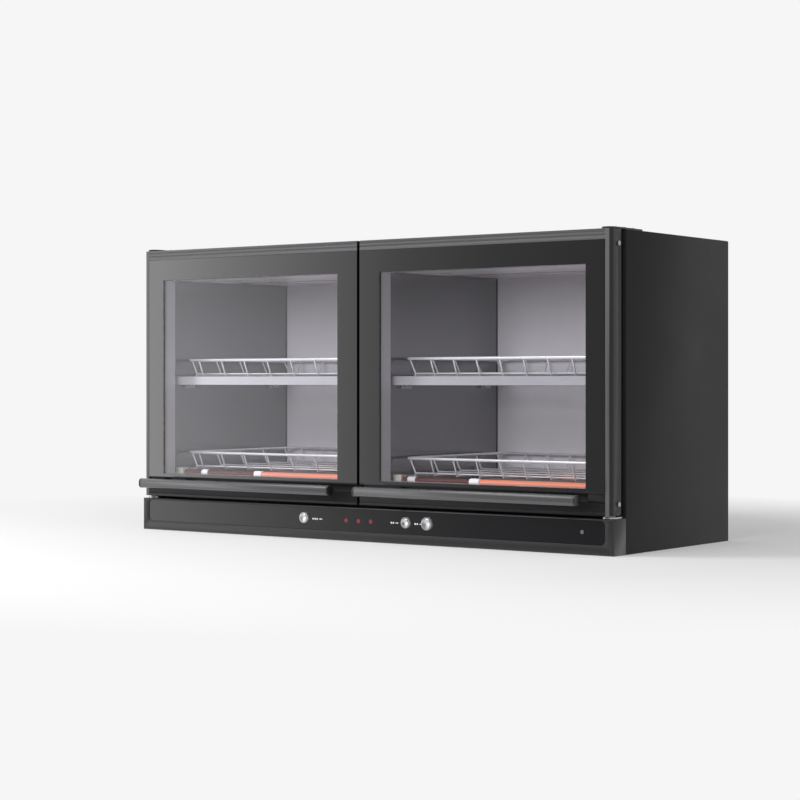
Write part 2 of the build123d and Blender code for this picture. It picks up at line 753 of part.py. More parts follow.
def pivot_bush(low_z, flange):
    """Plain bush in the stile's bore; the lower one has a flange that the door stands on."""
    foot = (pivot_x, pivot_depth, low_z - flange)
    seat = (pivot_x, pivot_depth, low_z)
    top = (pivot_x, pivot_depth, low_z + bush_length)
    bush = prism(foot, top, bush_radius)
    if flange:
        bush += prism(foot, seat, bush_flange_radius)
    return bush - rod(foot, top, pin_radius + pin_clearance)


def stile_screw(z):
    """Pan-head screw through the hinge stile into a rail."""
    seat = (door_outer_x, stile_screw_depth, z)
    return screw(seat, (-1, 0, 0), stile_screw_radius, stile_screw_head, stile_screw_length)


def handle_bar():
    """Round-edged bar, between its two end caps."""
    section = RectangleRounded(bar_thickness, bar_height, bar_corner)
    place = Pos(row_y(bar_thickness / 2 - handle_reach), bar_axis_z)
    length = bar_outer_x - bar_inner_x - 2 * cap_thickness
    return extrude(Plane.YZ.offset(bar_inner_x + cap_thickness) * place * section, length)


def handle_cap():
    """Cap that closes the outer end of the bar."""
    section = RectangleRounded(bar_thickness, bar_height, bar_corner)
    place = Pos(row_y(bar_thickness / 2 - handle_reach), bar_axis_z)
    return extrude(Plane.YZ.offset(bar_outer_x - cap_thickness) * place * section, cap_thickness)


def handle_post(x):
    """Post from the back of the finger channel to the back of the bar."""
    bar_back = bar_thickness - handle_reach
    return prism((x, channel_depth, bar_axis_z), (x, bar_back, bar_axis_z), post_radius)


bush_flange = door_bottom_z - lower_plate_top_z - seat_gap
bar_middle = Plane.YZ.offset((bar_inner_x + bar_outer_x) / 2)
right_door = {
    "hinge_stile": [hinge_stile()],
    "meeting_stile": [meeting_stile()],
    "top_rail": [top_rail()],
    "bottom_rail": [bottom_rail()],
    "glass": [glass_pane()],
    "door_liner": [door_liner()],
    "gasket": [gasket()],
    "pivot_bushes": [pivot_bush(door_bottom_z, bush_flange), pivot_bush(door_top_z - bush_length, 0)],
    "stile_screws": [stile_screw(z) for z in stile_screw_heights],
    "handle_bar": [handle_bar()],
    "handle_caps": [handle_cap(), mirror(handle_cap(), about=bar_middle)],
    "handle_posts": [handle_post(x) for x in post_positions],
}
for piece_name, solids in right_door.items():
    keep(f"right_{piece_name}", *solids)
    keep(f"left_{piece_name}", *[mirrored(solid) for solid in solids])


# ---------------------------------------------------------------- pivots on the cabinet
def plate_blank(back, low_z):
    """Flat pivot plate with a round nose about the pin and a hole for it."""
    nose = Pos(pivot_x, row_y(pivot_depth)) * Circle(plate_half_width)
    tail = outline(
        (pivot_x - plate_half_width, pivot_x + plate_half_width), (row_y(pivot_depth), row_y(back))
    )
    hole_radius = (pin_radius + plate_hole_fit) / math.cos(math.pi / small_sides)
    hole = Pos(pivot_x, row_y(pivot_depth)) * RegularPolygon(hole_radius, small_sides)
    return extrude(Plane.XY.offset(low_z) * (nose + tail - hole), plate_thickness)


def top_plate():
    """Upper pivot plate, screwed down on the cabinet's top."""
    plate = plate_blank(pivot_depth + top_plate_length, cabinet_height)
    for depth in top_screw_depths:
        ends = ((pivot_x, depth, pivot_plate_top_z + cut_past), (pivot_x, depth, cabinet_height - cut_past))
        plate -= prism(*ends, hinge_screw_radius + screw_fit, shank_sides)
    return plate


def lower_plate():
    """Lower pivot plate, with a leg folded down the front frame."""
    plate = plate_blank(frame_depth, lower_plate_z)
    across = (pivot_x - plate_half_width, pivot_x + plate_half_width)
    plate += slab(across, (leg_face, frame_depth), (lower_plate_z - lower_plate_drop, lower_plate_z))
    for z in leg_screw_heights:
        ends = ((pivot_x, leg_face - cut_past, z), (pivot_x, frame_depth + cut_past, z))
        plate -= prism(*ends, hinge_screw_radius + screw_fit, shank_sides)
    return plate


def pivot_pin(plate_z, tip_z):
    """Pin riveted through a plate."""
    return rod((pivot_x, pivot_depth, plate_z), (pivot_x, pivot_depth, tip_z), pin_radius)


def screw_in(seat, into):
    """Hinge screw in one direction."""
    return screw(seat, into, hinge_screw_radius, hinge_screw_head, hinge_screw_length)


keep("hinge_plates", *pair(top_plate()), *pair(lower_plate()))
keep(
    "hinge_pins",
    *pair(pivot_pin(pivot_plate_top_z, door_top_z - pin_reach)),
    *pair(pivot_pin(lower_plate_z, door_bottom_z + pin_reach)),
)


# ---------------------------------------------------------------- control panel
recess_x = half_width - panel_rim
recess_top_z = panel_height - panel_wall
panel_floor = recess_depth + panel_wall       # back of the panel's front wall
fascia_face = recess_depth - fascia_thickness
flange_front = panel_floor + seat_gap
flange_back = flange_front + button_flange
switch_face = board_depth - switch_height


def panel_holes():
    """Front-view holes for the three buttons and the three lenses."""
    holes = Sketch()
    for _, x, radius in button_places:
        hole_radius = (radius - bezel_width) / math.cos(math.pi / hole_sides)
        holes += Pos(x, button_height_z) * RegularPolygon(hole_radius, hole_sides)
    for x in lens_places:
        holes += Pos(x, lens_height_z) * RegularPolygon(lens_radius + screw_fit, small_sides)
    return holes


def control_panel():
    """Moulded housing, open behind, with a raised rim round the recess for the fascia."""
    block = from_front(outline((-half_width, half_width), (0, panel_height)), 0, frame_depth)
    block = chamfer(block.faces().sort_by(Axis.Y)[0].edges(), panel_edge_bevel)
    block -= slab(
        (panel_wall - half_width, half_width - panel_wall), (panel_floor, frame_depth + cut_past),
        (panel_wall, panel_height - panel_wall),
    )
    recess = outline((-recess_x, recess_x), (panel_rim_bottom, recess_top_z), recess_corner)
    block -= from_front(recess, -cut_past, recess_depth)
    block -= from_front(panel_holes(), 0, panel_floor + cut_past)
    screw_end = (fascia_screw_x, fascia_face + fascia_screw_length + screw_fit, fascia_screw_z)
    screw_start = (fascia_screw_x, 0, fascia_screw_z)
    block -= prism(screw_start, screw_end, fascia_screw_radius + screw_fit, shank_sides)
    for side in (-1, 1):
        middle = side * pivot_x
        reach = plate_half_width + seat_gap
        block -= slab(
            (middle - reach, middle + reach), (leg_face - seat_gap, frame_depth + cut_past),
            (panel_height - 2 * panel_wall, panel_height + cut_past),
        )
    for x in (board_left_x + board_post_inset, board_right_x - board_post_inset):
        for z in (board_bottom_z + board_post_inset, board_top_z - board_post_inset):
            ends = ((x, recess_depth + panel_wall / 2, z), (x, board_depth, z))
            block += prism(*ends, board_post_radius, shank_sides)
    return block


def control_fascia():
    """Glossy insert on the floor of the recess."""
    across = (fascia_gap - recess_x, recess_x - fascia_gap)
    tall = (panel_rim_bottom + fascia_gap, recess_top_z - fascia_gap)
    plate = outline(across, tall, recess_corner - fascia_gap)
    plate -= panel_holes()
    screw_hole = RegularPolygon(fascia_screw_radius + screw_fit, shank_sides)
    plate -= Pos(fascia_screw_x, fascia_screw_z) * screw_hole
    return from_front(plate, fascia_face, recess_depth)


def button_bezel(x, radius):
    """Tapered ring on the fascia, about a button."""
    inner = radius - bezel_width
    front = fascia_face - bezel_stand
    points = [(inner, front), (radius - bezel_taper, front), (radius, fascia_face), (inner, fascia_face)]
    return turned(points, x, button_height_z)


def push_button(x, radius):
    """Dished button, a flange that stops it behind the panel's wall, and a stem into its switch."""
    outer = radius - bezel_width - button_gap
    front = fascia_face - bezel_stand - button_stand
    points = [
        (0, front + button_dish), (outer - button_bevel, front), (outer, front + button_bevel),
        (outer, flange_front), (0, flange_front),
    ]
    stem_end = switch_face - button_travel - button_gap
    stations = (
        (flange_front, flange_back, radius + button_flange_lap),
        (flange_back, stem_end, button_stem_radius),
        (stem_end, switch_face + button_tip_entry, button_tip_radius),
    )
    button = turned(points, x, button_height_z)
    for start, end, station_radius in stations:
        button += prism((x, start, button_height_z), (x, end, button_height_z), station_radius)
    return button


def push_switch(x):
    """Square switch on the board, with a bore for the button's tip."""
    half = switch_side / 2
    body = slab(
        (x - half, x + half), (switch_face, board_depth), (button_height_z - half, button_height_z + half)
    )
    ends = ((x, switch_face - cut_past, button_height_z), (x, switch_face + switch_bore, button_height_z))
    return body - prism(*ends, button_tip_radius + button_gap)


def control_board():
    """Circuit board with a lamp behind each lens and a connector on its back."""
    rear = board_depth + board_thickness
    board = slab((board_left_x, board_right_x), (board_depth, rear), (board_bottom_z, board_top_z))
    for x in lens_places:
        ends = ((x, board_depth, lens_height_z), (x, board_depth - lamp_height, lens_height_z))
        board += prism(*ends, lamp_radius)
    return board + slab(connector_x, (rear, rear + connector_depth), connector_z)


def indicator_lens(x):
    """Small light pipe, a touch proud of the fascia."""
    front = fascia_face - lens_stand
    return prism((x, front, lens_height_z), (x, front + lens_length, lens_height_z), lens_radius)


def fascia_screw():
    """Pan-head screw near the right-hand end of the fascia."""
    seat = (fascia_screw_x, fascia_face, fascia_screw_z)
    return screw(seat, (0, 1, 0), fascia_screw_radius, fascia_screw_head, fascia_screw_length)


keep("control_panel", control_panel())
keep("control_fascia", control_fascia())
keep("button_bezels", *[button_bezel(x, radius) for _, x, radius in button_places])
for button_name, button_x, button_radius in button_places:
    keep(button_name, push_button(button_x, button_radius))
keep("indicator_lenses", *[indicator_lens(x) for x in lens_places])
keep("control_board", control_board())
keep("push_switches", *[push_switch(x) for _, x, _ in button_places])

top_screws = [screw_in((pivot_x, depth, pivot_plate_top_z), (0, 0, -1)) for depth in top_screw_depths]
leg_screws = [screw_in((pivot_x, leg_face, z), (0, 1, 0)) for z in leg_screw_heights]
keep("cabinet_screws", *[twin for single in top_screws + leg_screws for twin in pair(single)], fascia_screw())


# ---------------------------------------------------------------- inside the base and on the back
def power_module():
    """Relay box on the cabinet floor: a ribbed cover, open below."""
    across = (module_x - module_length / 2, module_x + module_length / 2)
    deep = (module_depth - module_width / 2, module_depth + module_width / 2)
    cover = slab(across, deep, (shell_sheet, shell_sheet + module_height))
    cover -= slab(
        (across[0] + module_wall, across[1] - module_wall), (deep[0] + module_wall, deep[1] - module_wall),
        (0, shell_sheet + module_height - module_wall),
    )
    rib_count = int(module_length / module_rib_pitch)
    for index in range(rib_count):
        x = across[0] + (index + 0.5) * module_length / rib_count
        cover += slab(
            (x - module_rib / 2, x + module_rib / 2), deep,
            (shell_sheet + module_height - module_wall, shell_sheet + module_height + module_rib),
        )
    return cover


def door_sensor():
    """Sealed switch behind the mullion, one for each door."""
    across, deep, high = sensor_size
    back_face = frame_depth + frame_sheet
    return slab(
        (sensor_x - across / 2, sensor_x + across / 2), (back_face, back_face + deep),
        (sensor_z - high / 2, sensor_z + high / 2),
    )


def wall_hanger():
    """Stiffening plate inside the back panel, about a hook hole."""
    across, thick, high = hanger_plate
    inner_face = back_panel_depth - shell_sheet
    plate = Pos(hanger_x, hanger_z) * Rectangle(across, high)
    hole_radius = (hanger_hole_radius + screw_fit) / math.cos(math.pi / small_sides)
    plate -= Pos(hanger_x, hanger_z) * RegularPolygon(hole_radius, small_sides)
    return from_front(plate, inner_face - thick, inner_face)


def cable_grommet():
    """Rubber grommet clipped into the cord hole, a flange on both faces of the back panel."""
    inner_face = back_panel_depth - shell_sheet
    outer_end = back_panel_depth + grommet_flange
    stations = (
        (inner_face - grommet_inside, inner_face, grommet_radius + grommet_lap),
        (inner_face, back_panel_depth, grommet_radius),
        (back_panel_depth, outer_end, grommet_radius + grommet_lap),
    )
    grommet = Part()
    for start, end, radius in stations:
        grommet += prism((cord_x, start, cord_z), (cord_x, end, cord_z), radius)
    ends = ((cord_x, inner_face - grommet_inside - cut_past, cord_z), (cord_x, outer_end + cut_past, cord_z))
    return grommet - prism(*ends, cord_radius)


keep("power_module", power_module())
keep("door_sensors", *pair(door_sensor()))
keep("wall_hangers", *pair(wall_hanger()))
keep("cable_grommet", cable_grommet())

os.makedirs("parts", exist_ok=True)
for part_name, shape in parts.items():
    export_step(shape, f"parts/{part_name}.step")
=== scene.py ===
"""Dish sterilizer cabinet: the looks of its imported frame, its camera and its studio.

Metres, +Z up, the doors face -Y, origin under the middle of the footprint. Sub-assemblies are classes that
dress the frame's own nodes and add the small pieces that the frame leaves out.
"""

import logging
import math
from dataclasses import dataclass
from enum import Enum
from typing import Any, Iterable, Sequence, Union

import bpy
import numpy as np
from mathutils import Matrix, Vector


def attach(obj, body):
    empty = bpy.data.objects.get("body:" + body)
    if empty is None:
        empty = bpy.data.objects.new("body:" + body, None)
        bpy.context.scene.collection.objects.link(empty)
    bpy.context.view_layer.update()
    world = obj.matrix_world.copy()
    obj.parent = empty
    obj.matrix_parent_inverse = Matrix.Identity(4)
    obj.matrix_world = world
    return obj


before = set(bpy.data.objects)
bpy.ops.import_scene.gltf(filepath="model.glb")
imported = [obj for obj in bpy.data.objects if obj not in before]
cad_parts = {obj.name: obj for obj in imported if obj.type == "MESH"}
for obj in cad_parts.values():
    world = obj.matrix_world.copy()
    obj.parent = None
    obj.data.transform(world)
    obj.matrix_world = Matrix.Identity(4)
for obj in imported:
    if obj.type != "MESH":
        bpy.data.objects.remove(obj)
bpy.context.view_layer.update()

LOG = logging.getLogger("sterilizer")
MM = 0.001
Colour = tuple[float, float, float]

# Places in the row frame: the doors' front face, and the axis of the front heater tubes.
DOOR_FACE_Y = -134 * MM
TUBE_Y = -90 * MM
TUBE_Z = 84 * MM

# Softened edges: their widths, the angle that counts as an edge and the gap that is welded first.
EDGE = 0.3 * MM
WIRE_EDGE = 0.2 * MM
EDGE_ANGLE_DEG = 34.0
WELD_GAP = 0.01 * MM

# Colours: how far a grey leans to blue, and plain white with its alpha.
COOL = 1.02
WHITE = (1.0, 1.0, 1.0, 1.0)

# The noises' levels of detail.
PLAIN_DETAIL = 2.0
FINE_DETAIL = 3.0
SMUDGE_DETAIL = 4.0

# The Mix node's colour sockets go by number, because their names repeat.
MIX_SHARE, MIX_FIRST, MIX_SECOND = 0, 6, 7
MIX_RESULT = 2


class Side(Enum):
    """The two mirror halves of the cabinet, by the sign of X."""

    LEFT = -1
    RIGHT = 1

    @property
    def word(self) -> str:
        """The half's name, as the nodes spell it."""
        return self.name.lower()


class Along(Enum):
    """The row axis that a rolled, drawn or brushed surface has its lines along."""

    X = 0
    Y = 1
    Z = 2


# ---------------------------------------------------------------- shader maths
class Wire:
    """One shader socket that takes Python arithmetic; every operation adds a Math node."""

    def __init__(self, nodes: "NodeBook", socket: Any) -> None:
        """Keeps the socket and the book of nodes it belongs to."""
        self.nodes = nodes
        self.socket = socket

    def _math(self, operation: str, *others: Union["Wire", float]) -> "Wire":
        """This value through one Math node.

        Args:
            operation: the node's operation.
            others: its second and third inputs.

        Returns:
            The node's output.
        """
        inputs = {0: self, **{place + 1: other for place, other in enumerate(others)}}
        return self.nodes.add("ShaderNodeMath", {"operation": operation}, inputs)["Value"]

    def __add__(self, other: Union["Wire", float]) -> "Wire":
        """Sum."""
        return self._math("ADD", other)

    def __radd__(self, other: float) -> "Wire":
        """Sum with a number on the left."""
        return self._math("ADD", other)

    def __sub__(self, other: Union["Wire", float]) -> "Wire":
        """Difference."""
        return self._math("SUBTRACT", other)

    def __rsub__(self, other: float) -> "Wire":
        """A number less this value."""
        return self._math("MULTIPLY", -1.0)._math("ADD", other)

    def __mul__(self, other: Union["Wire", float]) -> "Wire":
        """Product."""
        return self._math("MULTIPLY", other)

    def __rmul__(self, other: float) -> "Wire":
        """Product with a number on the left."""
        return self._math("MULTIPLY", other)

    def __abs__(self) -> "Wire":
        """Size without sign."""
        return self._math("ABSOLUTE")

    def above(self, limit: Union["Wire", float]) -> "Wire":
        """1 where the value is over the limit, else 0."""
        return self._math("GREATER_THAN", limit)

    def below(self, limit: Union["Wire", float]) -> "Wire":
        """1 where the value is under the limit, else 0."""
        return self._math("LESS_THAN", limit)

    def inside(self, low: float, high: float) -> "Wire":
        """1 between two limits, else 0."""
        return self.above(low) * self.below(high)

    def outside(self, low: float, high: float) -> "Wire":
        """1 under the low limit or over the high one, else 0."""
        return self.below(low) + self.above(high)

    def to_power(self, exponent: float) -> "Wire":
        """The value raised to a power."""
        return self._math("POWER", exponent)

    def clamped(self) -> "Wire":
        """The value held between 0 and 1."""
        return self._math("MAXIMUM", 0.0)._math("MINIMUM", 1.0)

    def ramp_over(self, low: float, high: float) -> "Wire":
        """0 at low, 1 at high, straight between and held outside."""
        return ((self - low) * (1.0 / (high - low))).clamped()


Input = Union[Wire, float, Sequence[float]]


class NodeBook:
    """One material's node tree, or another tree such as a lamp's or the world's."""

    def __init__(self, tree: Any) -> None:
        """Empties the tree and keeps it."""
        self.tree = tree
        tree.nodes.clear()

    def add(self, kind: str, settings: dict[str, Any], inputs: dict[Any, Input]) -> dict[Any, Wire]:
        """Adds one node.

        Args:
            kind: the node's type name.
            settings: its own settings, set first; "stops" gives a colour ramp's (place, colour) pairs.
            inputs: socket name or number to a value or a wire.

        Returns:
            The node's outputs, by name and by number.
        """
        node = self.tree.nodes.new(kind)
        for name, value in settings.items():
            if name == "stops":
                self._set_stops(node.color_ramp, value)
            else:
                setattr(node, name, value)
        for name, value in inputs.items():
            socket = node.inputs[name]
            if isinstance(value, Wire):
                self.tree.links.new(value.socket, socket)
            else:
                socket.default_value = value
        made = [Wire(self, output) for output in node.outputs]
        return {**{wire.socket.name: wire for wire in made}, **dict(enumerate(made))}

    @staticmethod
    def _set_stops(ramp: Any, stops: Sequence[tuple[float, Colour]]) -> None:
        """Gives a colour ramp these stops."""
        while len(ramp.elements) < len(stops):
            ramp.elements.new(0.5)
        for element, (place, colour) in zip(ramp.elements, stops):
            element.position = place
            element.color = (*colour, 1.0)

    def place(self) -> tuple[Wire, Wire, Wire]:
        """Object coordinates, which are the row frame's own X, Y and Z in metres."""
        vector = self.add("ShaderNodeTexCoord", {}, {})["Object"]
        parts = self.add("ShaderNodeSeparateXYZ", {}, {"Vector": vector})
        return parts["X"], parts["Y"], parts["Z"]

    def stretched(self, scale: Union[float, Sequence[float]]) -> Wire:
        """Object coordinates, scaled.

        Args:
            scale: one factor, or one for each axis; a small one draws a pattern out into lines.

        Returns:
            The scaled vector.
        """
        vector = self.add("ShaderNodeTexCoord", {}, {})["Object"]
        factors = tuple(float(factor) for factor in np.broadcast_to(scale, 3))
        return self.add("ShaderNodeMapping", {}, {"Vector": vector, "Scale": factors})["Vector"]

    def noise(self, scale: Union[float, Sequence[float]], detail: float = PLAIN_DETAIL) -> Wire:
        """Smooth noise from 0 to 1 on scaled object coordinates."""
        inputs = {"Vector": self.stretched(scale), "Scale": 1.0, "Detail": detail}
        return self.add("ShaderNodeTexNoise", {}, inputs)[0]

    def streaks(self, along: Along, across_scale: float, along_scale: float) -> Wire:
        """Noise drawn out into lines along one axis.

        Args:
            along: the axis of the lines.
            across_scale: the noise's scale across them.
            along_scale: its scale along them.

        Returns:
            The noise, 0 to 1.
        """
        scale = [across_scale] * 3
        scale[along.value] = along_scale
        return self.noise(scale, FINE_DETAIL)

    def bump(self, height: Wire, depth: float) -> Wire:
        """A normal tilted by a height from 0 to 1, where 1 stands for the depth in metres."""
        return self.add("ShaderNodeBump", {}, {"Height": height, "Distance": depth})["Normal"]

    def blend(self, share: Input, first: Input, second: Input) -> Wire:
        """A colour between two, by a share from 0 to 1."""
        inputs = {MIX_SHARE: share, MIX_FIRST: first, MIX_SECOND: second}
        return self.add("ShaderNodeMix", {"data_type": "RGBA"}, inputs)[MIX_RESULT]

    def mottled(self, colour: Colour, share: Wire, low: float, high: float = 1.0) -> Wire:
        """A colour that a noise moves between two factors of itself."""
        return self.blend(share, shade(colour, low), shade(colour, high))

    def surface(self, **inputs: Input) -> Wire:
        """A Principled shader; an underscore in a socket's name stands for a space."""
        named = {name.replace("_", " "): value for name, value in inputs.items()}
        return self.add("ShaderNodeBsdfPrincipled", {}, named)["BSDF"]

    def show(self, shader: Wire) -> None:
        """Sends a shader to the material's output."""
        self.add("ShaderNodeOutputMaterial", {}, {"Surface": shader})


def rgb(colour: Colour) -> tuple[float, float, float, float]:
    """A colour with full alpha."""
    return (*colour, 1.0)


def shade(colour: Colour, factor: float) -> tuple[float, float, float, float]:
    """A colour made darker or paler by a factor, with full alpha."""
    return rgb(tuple(channel * factor for channel in colour))


def grey(level: float) -> tuple[float, float, float, float]:
    """A neutral colour, a touch cool, with full alpha."""
    return rgb((level, level, level * COOL))


def around(middle: Union[Wire, float], *moves: tuple[Wire, float]) -> Wire:
    """A value moved up and down by noises.

    Args:
        middle: the value in the middle.
        moves: pairs of a noise from 0 to 1 and how far apart its ends set the value.

    Returns:
        The moved value.
    """
    return sum((reach * (noise - 0.5) for noise, reach in moves), middle)


# ---------------------------------------------------------------- finishes
@dataclass(frozen=True)
class Finish:
    """A procedural material that is made once and then shared."""

    name: str

    def material(self) -> bpy.types.Material:
        """The material, made on first use."""
        found = bpy.data.materials.get(self.name)
        if found is None:
            found = bpy.data.materials.new(self.name)
            found.use_nodes = True
            self.paint(NodeBook(found.node_tree))
        return found

    def paint(self, book: NodeBook) -> None:
        """Fills the node tree."""
        raise NotImplementedError

    def dress(self, *names: str) -> None:
        """Gives the finish to frame nodes.

        Args:
            names: the nodes' names.
        """
        for name in names:
            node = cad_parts[name]
            node.data.materials.clear()
            node.data.materials.append(self.material())


@dataclass(frozen=True)
class PowderCoat(Finish):
    """Sprayed and baked paint: a fine orange peel and a little cloud in its tone and shine."""

    colour: Colour
    roughness: float
    shine: float
    peel_scale: float = 900.0
    peel_depth: float = 0.06 * MM
    peel_shine: float = 0.06
    cloud_scale: float = 14.0
    cloud_tone: float = 1.18
    cloud_shine: float = 0.1

    def paint(self, book: NodeBook) -> None:
        """Noise at two scales: peel for the normal, cloud for tone and roughness."""
        peel = book.noise(self.peel_scale, FINE_DETAIL)
        cloud = book.noise(self.cloud_scale)
        book.show(book.surface(
            Base_Color=book.mottled(self.colour, cloud, 1.0, self.cloud_tone),
            Roughness=around(self.roughness, (cloud, self.cloud_shine), (peel, self.peel_shine)),
            Specular_IOR_Level=self.shine,
            Normal=book.bump(peel, self.peel_depth),
        ))


@dataclass(frozen=True)
class Anodised(Finish):
    """Extruded and anodised aluminium, with faint die lines along its length and, if asked, a painted sheen
    on its front face.
    """

    colour: Colour
    lines: Along
    roughness: float = 0.34
    metal: float = 0.55
    # front and the three fields after it paint a sheen on the front face: the factor it is made paler by, the
    # skin depth and the lowest height of that face, and how far die lines streak the painted sheen.
    front: float = 1.0
    front_skin: float = 0.6 * MM
    front_above: float = 0.0
    sheen_streaking: float = 0.3
    line_scale: float = 2200.0
    drawn_scale: float = 5.0
    line_tones: tuple[float, float] = (0.86, 1.14)
    line_shine: float = 0.14
    line_depth: float = 0.02 * MM
    cloud_scale: float = 9.0
    cloud_shine: float = 0.06

    def paint(self, book: NodeBook) -> None:
        """Noise drawn out along one axis, for tone, shine and normal; the front face is paler by a factor, as
        a painted sheen.
        """
        streak = book.streaks(self.lines, self.line_scale, self.drawn_scale)
        cloud = book.noise(self.cloud_scale)
        tone = book.mottled(self.colour, streak, *self.line_tones)
        # Painted sheen: the front face is made paler by a factor, streaked a little by the die lines.
        if self.front != 1.0:
            _, y, z = book.place()
            face = y.below(DOOR_FACE_Y + self.front_skin) * z.above(self.front_above)
            pale = book.blend(streak * self.sheen_streaking, shade(self.colour, self.front), tone)
            tone = book.blend(face, tone, pale)
        book.show(book.surface(
            Base_Color=tone,
            Metallic=self.metal,
            Roughness=around(self.roughness, (streak, self.line_shine), (cloud, self.cloud_shine)),
            Normal=book.bump(streak, self.line_depth),
        ))


@dataclass(frozen=True)
class Rolled(Finish):
    """Rolled stainless or zinc sheet: fine lines, smudges, a soft sheen and, if given, a dark band of painted
    shade.
    """

    colour: Colour
    roughness: float
    lines: Along = Along.X
    smudge: float = 0.12
    metal: float = 1.0
    # If given, a band between two depths in Y is painted dark, in the colour below, as painted shade.
    seam_y: tuple[float, float] = (0.0, 0.0)
    seam: Colour = (0.05, 0.03, 0.034)
    line_scale: float = 1500.0
    drawn_scale: float = 12.0
    line_shine: float = 0.16
    line_depth: float = 0.02 * MM
    cloud_scale: float = 11.0
    cloud_shine: float = 0.2

    def paint(self, book: NodeBook) -> None:
        """Drawn-out noise for the rolling lines, broad noise for the smudges."""
        streak = book.streaks(self.lines, self.line_scale, self.drawn_scale)
        cloud = book.noise(self.cloud_scale, SMUDGE_DETAIL)
        tone = book.mottled(self.colour, (streak + cloud) * 0.5, 1.0 - self.smudge)
        # Painted shade: the band between the two depths takes the dark colour.
        if self.seam_y[1] > self.seam_y[0]:
            _, y, _ = book.place()
            tone = book.blend(y.inside(*self.seam_y), tone, rgb(self.seam))
        book.show(book.surface(
            Base_Color=tone,
            Metallic=self.metal,
            Roughness=around(self.roughness, (streak, self.line_shine), (cloud, self.cloud_shine)),
            Normal=book.bump(streak, self.line_depth),
        ))


@dataclass(frozen=True)
class TubSteel(Finish):
    """Stainless tub: side walls polished like a mirror, the rest brushed, with a dark line of painted shade
    up each corner. The side walls' colour is darkened as painted shade, and the floor carries a painted
    heater glow.
    """

    wall_x: tuple[float, float] = (31 * MM, 369 * MM)
    wall_skin: float = 0.5 * MM
    back_y: float = 161 * MM
    corner: float = 1.6 * MM
    floor_z: float = 72.5 * MM
    # Side walls: a mirror polish that is real, in a colour darkened far below polished steel as painted
    # shade.
    wall: Colour = (0.2, 0.197, 0.204)
    wall_wear: float = 0.85
    wall_roughness: float = 0.09
    wall_cloud: float = 0.08
    brushed: Colour = (0.86, 0.84, 0.85)
    brushed_wear: float = 0.86
    brushed_roughness: float = 0.34
    satin: float = 0.7
    # Dark line up each back corner, where a side wall meets the back wall: painted shade.
    seam: Colour = (0.16, 0.16, 0.16)
    # Darker reddish tone for the floor below floor height: painted heater glow and painted shade.
    painted_floor_glow: Colour = (0.38, 0.27, 0.25)
    line_scale: float = 1500.0
    drawn_scale: float = 14.0
    line_shine: float = 0.14
    line_depth: float = 0.01 * MM
    cloud_scale: float = 9.0
    cloud_shine: float = 0.16

    def paint(self, book: NodeBook) -> None:
        """Which wall a point lies on comes from its place; streaks and smudges from noise."""
        x, y, z = book.place()
        across = abs(x)
        inner, outer = self.wall_x
        wall = across.outside(inner + self.wall_skin, outer - self.wall_skin)
        # Painted shade: a thin strip up each corner where a side wall meets the back wall.
        seam = across.outside(inner + self.corner, outer - self.corner) * y.above(self.back_y - self.corner)
        streak = book.streaks(Along.X, self.line_scale, self.drawn_scale)
        cloud = book.noise(self.cloud_scale, SMUDGE_DETAIL)
        brushed = book.mottled(self.brushed, (streak + cloud) * 0.5, self.brushed_wear)
        polished = book.mottled(self.wall, cloud, self.wall_wear)
        tone = book.blend(seam, book.blend(wall, brushed, polished), rgb(self.seam))
        # Painted heater glow and shade on the floor and the back wall below floor height, not on the side
        # walls.
        tone = book.blend(z.below(self.floor_z) * (1.0 - wall), tone, rgb(self.painted_floor_glow))
        rough = around(self.brushed_roughness, (streak, self.line_shine), (cloud, self.cloud_shine))
        mirror = self.wall_roughness + self.wall_cloud * cloud
        book.show(book.surface(
            Base_Color=tone,
            Metallic=1.0 - self.satin + wall * self.satin,
            Roughness=rough + wall * (mirror - rough),
            Normal=book.bump(streak * (1.0 - wall), self.line_depth),
        ))


@dataclass(frozen=True)
class Polished(Finish):
    """Chrome plate on trim and screws."""

    colour: Colour
    roughness: float
    cloud_scale: float = 60.0
    cloud_tone: float = 0.9
    cloud_shine: float = 0.1

    def paint(self, book: NodeBook) -> None:
        """Near mirror, with cloudy water marks in the shine."""
        cloud = book.noise(self.cloud_scale, FINE_DETAIL)
        book.show(book.surface(
            Base_Color=book.mottled(self.colour, cloud, self.cloud_tone),
            Metallic=1.0,
            Roughness=around(self.roughness, (cloud, self.cloud_shine)),
        ))


@dataclass(frozen=True)
class PlatedWire(Finish):
    """Bright nickel plate over drawn wire: near white, with a satin skin."""

    colour: Colour = (0.93, 0.93, 0.94)
    roughness: float = 0.24
    metal: float = 0.5
    cloud_scale: float = 90.0
    cloud_tone: float = 0.88
    cloud_shine: float = 0.12
    cloud_metal: float = 0.2

    def paint(self, book: NodeBook) -> None:
        """Cloud in tone, shine and metal; the share that isn't metal scatters light in the satin skin."""
        cloud = book.noise(self.cloud_scale, FINE_DETAIL)
        book.show(book.surface(
            Base_Color=book.mottled(self.colour, cloud, self.cloud_tone),
            Metallic=self.metal + self.cloud_metal * cloud,
            Roughness=around(self.roughness, (cloud, self.cloud_shine)),
        ))


